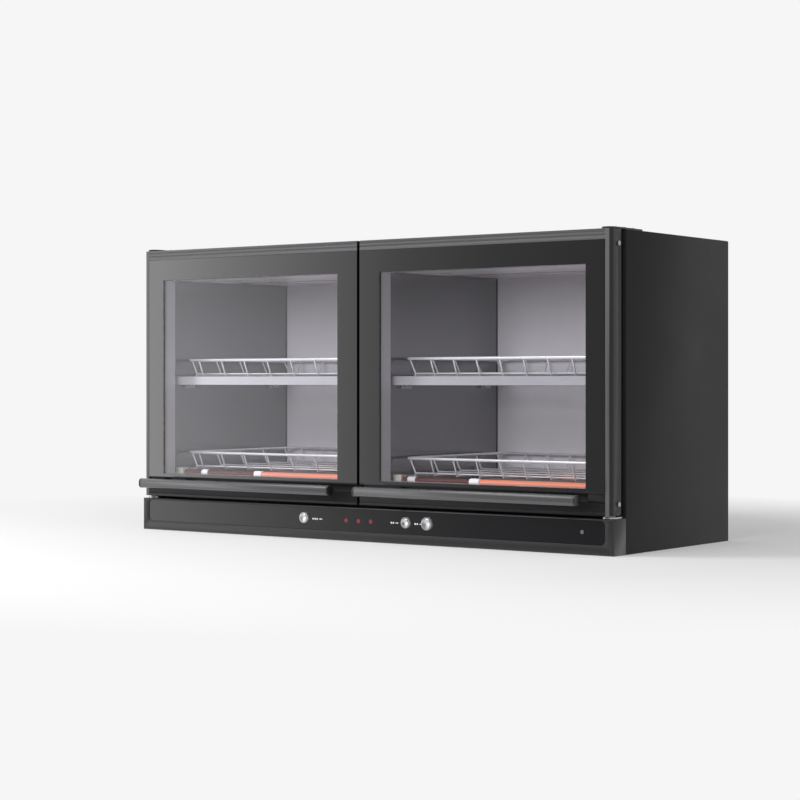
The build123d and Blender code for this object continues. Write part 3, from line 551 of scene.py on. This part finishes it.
@dataclass(frozen=True)
class HingeMetal(Finish):
    """Hinge plates and pins: bright zinc below the doors, near black above them."""

    dark_above: float = 300 * MM
    bright: Colour = (0.42, 0.42, 0.43)
    # Near black, rougher and not metal: the plates and pins above the doors.
    painted: Colour = (0.012, 0.012, 0.013)
    roughness: float = 0.25
    dark_dull: float = 0.2
    cloud_scale: float = 40.0
    cloud_tone: float = 0.85
    cloud_shine: float = 0.12

    def paint(self, book: NodeBook) -> None:
        """The height of a point says which of the two it is; noise for the smudges."""
        _, _, z = book.place()
        top = z.above(self.dark_above)
        cloud = book.noise(self.cloud_scale, FINE_DETAIL)
        book.show(book.surface(
            Base_Color=book.blend(top, book.mottled(self.bright, cloud, self.cloud_tone), rgb(self.painted)),
            Metallic=1.0 - top,
            Roughness=around(self.roughness + self.dark_dull * top, (cloud, self.cloud_shine)),
        ))


@dataclass(frozen=True)
class Moulded(Finish):
    """Moulded plastic, rubber, ceramic or glossy film: a colour, a shine and a fine skin."""

    colour: Colour
    roughness: float
    skin_scale: float = 1400.0
    skin_depth: float = 0.03 * MM
    cloud_scale: float = 22.0
    cloud_tone: float = 0.88
    cloud_shine: float = 0.08

    def paint(self, book: NodeBook) -> None:
        """Fine skin in the normal, slow cloud in colour and shine."""
        skin = book.noise(self.skin_scale)
        cloud = book.noise(self.cloud_scale, FINE_DETAIL)
        book.show(book.surface(
            Base_Color=book.mottled(self.colour, cloud, self.cloud_tone),
            Roughness=around(self.roughness, (cloud, self.cloud_shine)),
            Normal=book.bump(skin, self.skin_depth),
        ))


@dataclass(frozen=True)
class Pane(Finish):
    """Tempered glass with a black border printed on it, clear inside the window."""

    window_x: tuple[float, float] = (36 * MM, 359.5 * MM)
    window_z: tuple[float, float] = (83 * MM, 366 * MM)
    tint: float = 0.955
    face_on: float = 0.039
    slant_power: float = 5.0
    film_roughness: float = 0.02
    border: float = 0.004
    border_ior: float = 1.9
    border_roughness: float = 0.03
    haze_scale: float = 7.0
    haze: float = 0.03

    def paint(self, book: NodeBook) -> None:
        """A see-through film inside the window, black gloss outside it.

        The film's mirror share rises from its face-on value with a power of the slant, the same from both
        faces of the pane.
        """
        x, _, z = book.place()
        window = abs(x).inside(*self.window_x) * z.inside(*self.window_z)
        dull = self.border_roughness + self.haze * book.noise(self.haze_scale)
        border = book.surface(Base_Color=grey(self.border), Roughness=dull, IOR=self.border_ior)
        clear = book.add("ShaderNodeBsdfTransparent", {}, {"Color": grey(self.tint)})["BSDF"]
        gloss = {"Color": grey(1.0), "Roughness": self.film_roughness}
        shine = book.add("ShaderNodeBsdfGlossy", {}, gloss)["BSDF"]
        slant = book.add("ShaderNodeLayerWeight", {}, {"Blend": 0.5})["Facing"]
        mirror_share = self.face_on + (1.0 - self.face_on) * slant.to_power(self.slant_power)
        film = book.add("ShaderNodeMixShader", {}, {0: mirror_share, 1: clear, 2: shine})["Shader"]
        book.show(book.add("ShaderNodeMixShader", {}, {0: window, 1: border, 2: film})["Shader"])


@dataclass(frozen=True)
class HotQuartz(Finish):
    """Lit heater tube: salmon with a brighter coil inside, and a dull red cold end between its collars."""

    tube: Colour = (0.5, 0.16, 0.1)
    cold_tube: Colour = (0.06, 0.02, 0.018)
    roughness: float = 0.2
    glow: Colour = (0.5, 0.12, 0.055)
    hot_glow: Colour = (0.62, 0.17, 0.08)
    coil_glow: Colour = (0.9, 0.52, 0.38)
    cold_glow: Colour = (0.05, 0.012, 0.01)
    cold_coil_glow: Colour = (0.13, 0.03, 0.02)
    strength: float = 0.45
    heat_scale: tuple[float, float, float] = (7.0, 2.0, 2.0)
    heat_detail: float = 1.0
    coil_radians: float = 1800.0
    coil_radius: float = 2.6 * MM
    coil_share: float = 0.6
    turn_share: float = 0.3
    cold_spans: tuple[tuple[float, float], ...] = ((30 * MM, 162 * MM), (-370 * MM, -213 * MM))

    def paint(self, book: NodeBook) -> None:
        """Coil turns as a sine along X, a slow change of heat, and the cold stretches by place."""
        x, _, z = book.place()
        turns = book.add("ShaderNodeMath", {"operation": "SINE"}, {0: x * self.coil_radians})["Value"]
        heat = book.noise(self.heat_scale, self.heat_detail)
        cold = sum((x.inside(*span) for span in self.cold_spans), 0.0)
        core = 1.0 - abs(z - TUBE_Z).ramp_over(0.0, self.coil_radius)
        tone = book.blend(heat, rgb(self.glow), rgb(self.hot_glow))
        lit = book.blend(core * (self.coil_share + self.turn_share * turns), tone, rgb(self.coil_glow))
        dull = book.blend(core, rgb(self.cold_glow), rgb(self.cold_coil_glow))
        book.show(book.surface(
            Base_Color=book.blend(cold, rgb(self.tube), rgb(self.cold_tube)),
            Roughness=self.roughness,
            Emission_Color=book.blend(cold, lit, dull),
            Emission_Strength=self.strength,
        ))


@dataclass(frozen=True)
class LitLens(Finish):
    """Small coloured lens with a dim light behind it."""

    colour: Colour = (0.16, 0.016, 0.02)
    roughness: float = 0.25
    strength: float = 0.2
    cloud_scale: float = 500.0
    cloud_tone: float = 0.7

    def paint(self, book: NodeBook) -> None:
        """Colour with a faint, slightly uneven glow."""
        tone = book.mottled(self.colour, book.noise(self.cloud_scale), self.cloud_tone)
        book.show(book.surface(
            Base_Color=tone, Roughness=self.roughness, Emission_Color=tone, Emission_Strength=self.strength
        ))


@dataclass(frozen=True)
class CircuitGreen(Finish):
    """Solder-masked board, with faint tracks."""

    dark: Colour = (0.01, 0.12, 0.05)
    pale: Colour = (0.02, 0.22, 0.09)
    roughness: float = 0.35
    cell_scale: float = 300.0
    cell_depth: float = 0.03 * MM

    def paint(self, book: NodeBook) -> None:
        """Square cells for the tracks under a green lacquer."""
        inputs = {"Vector": book.stretched(self.cell_scale), "Scale": 1.0}
        cells = book.add("ShaderNodeTexVoronoi", {"distance": "MANHATTAN"}, inputs)["Distance"]
        tone = book.blend(cells, rgb(self.dark), rgb(self.pale))
        book.show(book.surface(
            Base_Color=tone, Roughness=self.roughness, Normal=book.bump(cells, self.cell_depth)
        ))


# ---------------------------------------------------------------- meshes
def grid_faces(rows: int, columns: int, closed: bool) -> np.ndarray:
    """Quads of a grid of points, row by row.

    Args:
        rows: rows of points.
        columns: points in a row.
        closed: whether each row joins its own start.

    Returns:
        One row of four point numbers for each quad.
    """
    span = columns if closed else columns - 1
    row, column = np.meshgrid(np.arange(rows - 1), np.arange(span), indexing="ij")
    following = (column + 1) % columns
    corners = (row * columns + column, row * columns + following,
               (row + 1) * columns + following, (row + 1) * columns + column)
    return np.stack([corner.ravel() for corner in corners], axis=1)


def mesh_piece(name: str, points: np.ndarray, faces: Iterable[Sequence[int]], finish: Finish, body: str,
               smooth: bool = True) -> None:
    """A new piece of the object.

    Args:
        name: the piece's name.
        points: its points in the row frame, in metres.
        faces: its faces as point numbers.
        finish: its material.
        body: the frame body it moves with.
        smooth: whether its faces are shaded smooth.
    """
    mesh = bpy.data.meshes.new(name)
    mesh.from_pydata([tuple(p) for p in points], [], [tuple(int(i) for i in f) for f in faces])
    mesh.validate()
    mesh.polygons.foreach_set("use_smooth", [smooth] * len(mesh.polygons))
    mesh.materials.append(finish.material())
    piece = bpy.data.objects.new(name, mesh)
    bpy.context.scene.collection.objects.link(piece)
    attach(piece, body)
    LOG.info("piece %s: %d faces, rides on %s", name, len(mesh.polygons), body)


def soften(names: Iterable[str], width: float) -> None:
    """Small rounded edges on frame nodes: merged, bevelled and shaded smooth, by modifiers alone.

    Args:
        names: the nodes.
        width: the bevel's width in metres.
    """
    for name in names:
        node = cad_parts[name]
        node.data.polygons.foreach_set("use_smooth", [True] * len(node.data.polygons))
        weld = node.modifiers.new("merge", "WELD")
        weld.merge_threshold = WELD_GAP
        round_off = node.modifiers.new("edges", "BEVEL")
        round_off.width = width
        round_off.segments = 2
        round_off.limit_method = "ANGLE"
        round_off.angle_limit = math.radians(EDGE_ANGLE_DEG)
        round_off.harden_normals = True
        round_off.use_clamp_overlap = True


# ---------------------------------------------------------------- the object's sub-assemblies
@dataclass
class CabinetBody:
    """Steel body, back and base."""

    black: PowderCoat = PowderCoat(
        "black powder coat", colour=(0.007, 0.007, 0.0075), roughness=0.5, shine=0.12
    )
    frame_black: PowderCoat = PowderCoat(
        "frame black", colour=(0.012, 0.012, 0.013), roughness=0.5, shine=0.25
    )
    zinc: Rolled = Rolled("zinc sheet", colour=(0.5, 0.51, 0.52), roughness=0.42, smudge=0.25, lines=Along.Z)

    def dress(self) -> None:
        """Paint outside, bare zinc behind."""
        self.black.dress("outer_shell", "base_pan")
        self.frame_black.dress("front_frame")
        self.zinc.dress("back_panel", "wall_hangers")
        soften(["outer_shell"], EDGE)


@dataclass
class Chambers:
    """Stainless tubs, shelves, rails, baskets and heaters."""

    steel: TubSteel = TubSteel("chamber steel")
    bright: Rolled = Rolled("bright steel", colour=(0.47, 0.465, 0.475), roughness=0.34, metal=0.4)
    wire: PlatedWire = PlatedWire("plated wire")
    ceramic: Moulded = Moulded("heater ceramic", colour=(0.62, 0.58, 0.5), roughness=0.7)
    quartz: HotQuartz = HotQuartz("lit quartz")

    def dress(self) -> None:
        """Finishes for everything behind the glass."""
        for side in Side:
            self.steel.dress(f"{side.word}_chamber")
            self.bright.dress(f"{side.word}_shelf")
            self.quartz.dress(f"{side.word}_heater_tubes")
            for level in ("upper", "lower"):
                name = f"{side.word}_{level}_rack"
                self.wire.dress(name)
                soften([name], WIRE_EDGE)
        self.bright.dress("rack_rails", "shelf_pegs", "heater_reflectors")
        self.ceramic.dress("heater_caps", "thermal_cutouts")


@dataclass
class CeilingTrays:
    """A shallow bright tray under each chamber's ceiling: a folded channel, seen in the window's top."""

    # Its dark band from 30 to 58 mm deep is painted shade along the pressed step.
    sheet: Rolled = Rolled(
        "tray steel", colour=(0.95, 0.9, 0.92), roughness=0.3, metal=0.2, seam_y=(30 * MM, 58 * MM)
    )
    inner_x: float = 32 * MM
    outer_x: float = 368 * MM
    front_y: float = -108 * MM
    back_y: float = 160 * MM
    ceiling_z: float = 379.8 * MM
    drop: float = 12.5 * MM
    bend: float = 2.0 * MM
    step_y: float = 40 * MM
    step: float = 1.5 * MM
    bend_points: int = 6

    def profile(self) -> np.ndarray:
        """Front to back: lip, rounded bend, flat, a pressed step and the flat up to the back.

        Returns:
            Points as rows of depth and height.
        """
        turn = np.linspace(0, math.pi / 2, self.bend_points)
        low = self.ceiling_z - self.drop
        high = low + self.step
        bend_y = self.front_y + self.bend * (1 - np.cos(turn))
        bend_z = low + self.bend * (1 - np.sin(turn))
        start = [[self.front_y, self.ceiling_z]]
        rest = [
            [self.step_y, low],
            [self.step_y + 2 * self.step, high],
            [self.back_y, high],
            [self.back_y, self.ceiling_z],
        ]
        return np.concatenate([start, np.stack([bend_y, bend_z], axis=1), rest])

    def build(self, side: Side) -> None:
        """One tray: the profile swept across the chamber, closed by its flat top.

        Args:
            side: which chamber it hangs in.
        """
        line = self.profile()
        across = np.array([self.inner_x, self.outer_x]) * side.value
        points = np.array([[x, *point] for x in across for point in line])
        count = len(line)
        faces = [tuple(face) for face in grid_faces(2, count, True)]
        faces += [tuple(range(count)), tuple(range(2 * count - 1, count - 1, -1))]
        outward = faces if side is Side.LEFT else [face[::-1] for face in faces]
        mesh_piece(f"{side.word}_ceiling_tray", points, outward, self.sheet, "cabinet", False)


@dataclass
class HeaterCollars:
    """White collars on the front heater tubes, standing for painted highlights: a ring with rounded ends,
    lathed about the tube.
    """

    # Near white, as painted highlights on the front tubes.
    highlight_white: Moulded = Moulded("collar glaze", colour=(0.86, 0.85, 0.82), roughness=0.35)
    middles_x: tuple[float, ...] = (60 * MM, 163 * MM, -315 * MM, -213 * MM)
    lengths: tuple[float, ...] = (13 * MM, 16 * MM, 12 * MM, 14 * MM)
    inner: float = 4.02 * MM
    outer: float = 4.9 * MM
    rounding: float = 0.7 * MM
    sides: int = 32
    shoulder_points: int = 5

    def ring(self, middle: float, length: float) -> tuple[np.ndarray, np.ndarray]:
        """A closed profile (end, rounded shoulder, side and bore) turned about the tube's axis.

        Args:
            middle: its middle along X.
            length: its length.

        Returns:
            Points and quads.
        """
        turn = np.linspace(0, math.pi / 2, self.shoulder_points)
        half = length / 2
        shoulder_x = half - self.rounding * (1 - np.sin(turn))
        shoulder_r = self.outer - self.rounding * (1 - np.cos(turn))
        x = np.concatenate([[half], shoulder_x[::-1], -shoulder_x, [-half]])
        radius = np.concatenate([[self.inner], shoulder_r[::-1], shoulder_r, [self.inner]])
        angle = np.linspace(0, 2 * math.pi, self.sides, endpoint=False)
        points = np.stack([
            np.broadcast_to(middle + x[:, None], (len(x), self.sides)),
            TUBE_Y + radius[:, None] * np.cos(angle)[None, :],
            TUBE_Z + radius[:, None] * np.sin(angle)[None, :],
        ], axis=2).reshape(-1, 3)
        rows = grid_faces(len(x), self.sides, True)
        first = np.arange(self.sides)
        last = first + (len(x) - 1) * self.sides
        bore = np.stack([last, np.roll(last, -1), np.roll(first, -1), first], axis=1)
        return points, np.concatenate([rows, bore])

    def build(self) -> None:
        """The four collars as one piece."""
        rings = [self.ring(middle, length) for middle, length in zip(self.middles_x, self.lengths)]
        step = len(rings[0][0])
        points = np.concatenate([ring for ring, _ in rings])
        faces = np.concatenate([quads + place * step for place, (_, quads) in enumerate(rings)])
        mesh_piece("heater_collars", points, faces, self.highlight_white, "cabinet")


@dataclass
class Doors:
    """The two glass doors with their handles."""

    # front=8.0 paints a sheen on the uprights' front faces and on the top rail's front face above 396 mm.
    upright: Anodised = Anodised("door upright", colour=(0.014, 0.014, 0.0145), lines=Along.Z, front=8.0)
    rail: Anodised = Anodised(
        "door rail", colour=(0.014, 0.014, 0.0145), lines=Along.X, front=8.0, front_above=396 * MM
    )
    bar: Anodised = Anodised("handle bar", colour=(0.1, 0.1, 0.104), lines=Along.X, roughness=0.22)
    cap: Moulded = Moulded("handle end", colour=(0.012, 0.012, 0.012), roughness=0.35)
    pane: Pane = Pane("door glass")
    liner: Rolled = Rolled("window reveal", colour=(0.56, 0.55, 0.565), roughness=0.36, metal=0.6)
    seal: Moulded = Moulded("door seal", colour=(0.008, 0.008, 0.008), roughness=0.6, skin_scale=700.0)
    bush: Moulded = Moulded("pivot bush", colour=(0.5, 0.5, 0.48), roughness=0.4)
    screw: Polished = Polished("door screws", colour=(0.34, 0.34, 0.35), roughness=0.34)

    def dress(self) -> None:
        """Finishes for both doors."""
        for side in Side:
            word = side.word
            self.upright.dress(f"{word}_hinge_stile", f"{word}_meeting_stile")
            self.rail.dress(f"{word}_top_rail", f"{word}_bottom_rail")
            self.bar.dress(f"{word}_handle_bar", f"{word}_handle_posts")
            self.cap.dress(f"{word}_handle_caps")
            self.pane.dress(f"{word}_glass")
            self.liner.dress(f"{word}_door_liner")
            self.seal.dress(f"{word}_gasket")
            self.bush.dress(f"{word}_pivot_bushes")
            self.screw.dress(f"{word}_stile_screws")
            edged = ("hinge_stile", "top_rail", "bottom_rail", "handle_bar", "handle_caps")
            soften([f"{word}_{part}" for part in edged], EDGE)


@dataclass
class ControlPanel:
    """Housing, glossy insert, buttons, lamps and their generic marks."""

    housing: PowderCoat = PowderCoat("panel housing", colour=(0.016, 0.016, 0.017), roughness=0.3, shine=0.34)
    insert: Moulded = Moulded("panel insert", colour=(0.006, 0.006, 0.007), roughness=0.07)
    chrome: Polished = Polished("button chrome", colour=(0.7, 0.7, 0.71), roughness=0.22)
    lens: LitLens = LitLens("indicator lens")
    board: CircuitGreen = CircuitGreen("circuit board")
    plain: Moulded = Moulded("switch plastic", colour=(0.03, 0.03, 0.03), roughness=0.45)
    ink: Moulded = Moulded("pale ink", colour=(0.6, 0.6, 0.6), roughness=0.5)
    face_depth: float = 0.7 * MM
    mark_height_z: float = 28 * MM
    mark_groups: tuple[tuple[float, int, float], ...] = (
        (-79 * MM, 3, 5.5 * MM), (55.5 * MM, 2, 4.5 * MM), (95 * MM, 2, 3.0 * MM),
    )
    mark_half: float = 1.15 * MM
    mark_pitch: float = 3.6 * MM
    dash_half: float = 0.55 * MM
    mark_sides: int = 16
    print_height: float = 0.05 * MM

    def dress(self) -> None:
        """Finishes for the panel's frame nodes."""
        self.housing.dress("control_panel")
        self.insert.dress("control_fascia")
        self.chrome.dress("button_bezels", "left_button", "middle_button", "right_button")
        self.lens.dress("indicator_lenses")
        self.board.dress("control_board")
        self.plain.dress("push_switches", "power_module", "door_sensors")
        soften(["control_panel"], EDGE)

    def mark(
        self, x: float, half_width: float, half_height: float
    ) -> tuple[np.ndarray, list[tuple[int, ...]]]:
        """One printed mark: a superellipse, which is a square with round corners, and its thin edge.

        Args:
            x: its middle across.
            half_width: half its width.
            half_height: half its height.

        Returns:
            Points and faces.
        """
        turn = np.linspace(0, 2 * math.pi, self.mark_sides, endpoint=False)
        across, up = np.cos(turn), np.sin(turn)
        ring_x = x + half_width * np.sign(across) * np.sqrt(np.abs(across))
        ring_z = self.mark_height_z + half_height * np.sign(up) * np.sqrt(np.abs(up))
        face_y = DOOR_FACE_Y + self.face_depth
        rings = [
            np.stack([ring_x, np.full_like(ring_x, y), ring_z], axis=1)
            for y in (face_y - self.print_height, face_y)
        ]
        faces = [tuple(range(self.mark_sides))]
        faces += [tuple(face) for face in grid_faces(2, self.mark_sides, True)[:, ::-1]]
        return np.concatenate(rings), faces

    def marks(self) -> None:
        """Small squares and a short dash beside each button, in place of lettering."""
        points: list[np.ndarray] = []
        faces: list[tuple[int, ...]] = []
        for start, squares, dash in self.mark_groups:
            places = [start + self.mark_pitch * count for count in range(squares)]
            shapes = [(place, self.mark_half, self.mark_half) for place in places]
            shapes.append((places[-1] + self.mark_pitch + dash / 2, dash / 2, self.dash_half))
            for x, half_width, half_height in shapes:
                base = sum(len(ring) for ring in points)
                ring, sides = self.mark(x, half_width, half_height)
                points.append(ring)
                faces += [tuple(int(corner) + base for corner in side) for side in sides]
        mesh_piece("panel_marks", np.concatenate(points), faces, self.ink, "cabinet", False)


@dataclass
class Hardware:
    """Hinge plates, pins, screws and the cord grommet."""

    zinc: Rolled = Rolled("zinc hardware", colour=(0.34, 0.34, 0.35), roughness=0.3, smudge=0.1)
    pivot: HingeMetal = HingeMetal("hinge metal")
    rubber: Moulded = Moulded("grommet rubber", colour=(0.01, 0.01, 0.01), roughness=0.6)

    def dress(self) -> None:
        """Finishes for the hardware."""
        self.pivot.dress("hinge_plates", "hinge_pins")
        self.zinc.dress("cabinet_screws")
        self.rubber.dress("cable_grommet")


# ---------------------------------------------------------------- camera and studio
@dataclass(frozen=True)
class Viewpoint:
    """The photograph's camera: level, to the right of the doors."""

    place: tuple[float, float, float] = (1.6759, -2.3230, 0.22025)
    azimuth_deg: float = 36.255
    focal_px: float = 2025.67
    horizon_px: float = 379.77
    picture_px: float = 800.0
    sensor_mm: float = 36.0
    clip: tuple[float, float] = (0.05, 60.0)

    def set_up(self) -> None:
        """Makes the camera and gives it to the scene."""
        lens = bpy.data.cameras.new("camera")
        lens.sensor_width = self.sensor_mm
        lens.lens = self.focal_px / self.picture_px * self.sensor_mm
        lens.shift_y = (self.horizon_px - self.picture_px / 2) / self.picture_px
        lens.clip_start, lens.clip_end = self.clip
        holder = bpy.data.objects.new("camera", lens)
        holder.location = self.place
        holder.rotation_euler = (math.pi / 2, 0.0, math.radians(self.azimuth_deg))
        bpy.context.scene.collection.objects.link(holder)
        bpy.context.scene.camera = holder


@dataclass(frozen=True)
class Lamp:
    """A soft rectangular lamp: its place and aim, its size in metres and its power in watts."""

    name: str
    place: tuple[float, float, float]
    aim: tuple[float, float, float]
    size: tuple[float, float]
    power: float
    mirrored: bool = False

    def set_up(self) -> None:
        """Makes the lamp; shiny surfaces show it only if it is to be mirrored."""
        light = bpy.data.lights.new(self.name, "AREA")
        light.shape = "RECTANGLE"
        light.size, light.size_y = self.size
        light.energy = self.power
        holder = bpy.data.objects.new(self.name, light)
        holder.location = self.place
        holder.visible_glossy = self.mirrored
        holder.rotation_euler = (Vector(self.aim) - Vector(self.place)).to_track_quat("-Z", "Y").to_euler()
        bpy.context.scene.collection.objects.link(holder)


@dataclass(frozen=True)
class Studio:
    """Pale floor and world, soft lamps and one broad screen in front that fades from left to right."""

    background: float = 0.922
    fill: float = 0.42
    floor_share: float = 0.27
    floor_white: float = 0.74
    floor_fade: tuple[float, float] = (0.62, 1.15)
    floor_reach: float = 30.0
    screen_y: float = -1.6
    screen_x: tuple[float, float] = (-4.0, 1.2)
    screen_z: tuple[float, float] = (-0.25, 0.62)
    screen_stops: tuple[tuple[float, float], ...] = (
        (-4.0, 2.3), (-1.74, 2.2), (-1.5, 1.5), (-1.2, 0.85),
        (-1.0, 0.5), (-0.75, 0.3), (-0.45, 0.2), (0.2, 0.2),
    )
    lamps: tuple[Lamp, ...] = (
        Lamp("top lamp", (-0.6, -1.1, 2.1), (0.0, -0.1, 0.2), size=(1.6, 1.0), power=13.0, mirrored=True),
        Lamp("key lamp", (-2.0, -1.7, 1.1), (0.1, 0.0, 0.1), size=(0.7, 0.7), power=60.0),
        Lamp("front lamp", (0.3, -2.6, 0.8), (0.0, 0.0, 0.2), size=(1.4, 0.8), power=50.0),
    )

    def seen_directly(self, book: NodeBook) -> Wire:
        """1 for rays that should see the plain background: camera, mirror and see-through rays."""
        path = book.add("ShaderNodeLightPath", {}, {})
        return (path["Is Camera Ray"] + path["Is Glossy Ray"] + path["Is Transmission Ray"]).clamped()

    def world(self) -> None:
        """The background's level where it is seen, the fill's where it lights."""
        world = bpy.data.worlds.new("world")
        world.use_nodes = True
        bpy.context.scene.world = world
        book = NodeBook(world.node_tree)
        level = self.fill + (self.background - self.fill) * self.seen_directly(book)
        sky = book.add("ShaderNodeBackground", {}, {"Color": WHITE, "Strength": level})["Background"]
        book.add("ShaderNodeOutputWorld", {}, {"Surface": sky})

    def sheet(self, name: str, corners: Sequence[Sequence[float]]) -> tuple[bpy.types.Object, NodeBook]:
        """A flat four-cornered backdrop with an empty material.

        Args:
            name: its name.
            corners: its corners in order.

        Returns:
            The object and its material's nodes.
        """
        mesh = bpy.data.meshes.new(name)
        mesh.from_pydata(corners, [], [(0, 1, 2, 3)])
        plane = bpy.data.objects.new(name, mesh)
        bpy.context.scene.collection.objects.link(plane)
        paint = bpy.data.materials.new(name)
        paint.use_nodes = True
        plane.data.materials.append(paint)
        return plane, NodeBook(paint.node_tree)

    def floor(self) -> None:
        """A wide floor that keeps a soft shadow near the object and turns into the background further out."""
        reach = self.floor_reach
        corners = [(-reach, -reach, 0), (reach, -reach, 0), (reach, reach, 0), (-reach, reach, 0)]
        plane, book = self.sheet("floor", corners)
        plane.visible_glossy = False
        x, y, _ = book.place()
        away = book.add("ShaderNodeMath", {"operation": "SQRT"}, {0: x * x + y * y})["Value"]
        share = self.floor_share + (1.0 - self.floor_share) * away.ramp_over(*self.floor_fade)
        matt = book.add("ShaderNodeBsdfDiffuse", {}, {"Color": rgb((self.floor_white,) * 3)})["BSDF"]
        plain = book.add("ShaderNodeEmission", {}, {"Color": WHITE, "Strength": self.background})["Emission"]
        book.show(book.add("ShaderNodeMixShader", {}, {0: share, 1: matt, 2: plain})["Shader"])

    def screen(self) -> None:
        """The screen that the doors mirror: bright on the left and nearly dark on the right."""
        (left, right), (low, high), y = self.screen_x, self.screen_z, self.screen_y
        corners = [(left, y, low), (right, y, low), (right, y, high), (left, y, high)]
        plane, book = self.sheet("screen", corners)
        plane.visible_camera = False
        plane.visible_diffuse = False
        plane.visible_shadow = False
        x, _, _ = book.place()
        brightest = max(level for _, level in self.screen_stops)
        width = right - left
        stops = [((place - left) / width, (level / brightest,) * 3) for place, level in self.screen_stops]
        fade = book.add("ShaderNodeValToRGB", {"stops": stops}, {"Fac": x.ramp_over(left, right)})["Color"]
        book.show(book.add("ShaderNodeEmission", {}, {"Color": fade, "Strength": brightest})["Emission"])

    def set_up(self) -> None:
        """World, floor, screen and lamps."""
        self.world()
        self.floor()
        self.screen()
        for lamp in self.lamps:
            lamp.set_up()


def main() -> None:
    """Camera first, then the object's parts in order, then the studio."""
    logging.basicConfig(level=logging.INFO, format="%(message)s")
    bpy.context.scene.view_settings.view_transform = "Standard"
    Viewpoint().set_up()
    CabinetBody().dress()
    Chambers().dress()
    HeaterCollars().build()
    for side in Side:
        CeilingTrays().build(side)
    Doors().dress()
    panel = ControlPanel()
    panel.dress()
    panel.marks()
    Hardware().dress()
    Studio().set_up()


if __name__ == "__main__":
    main()
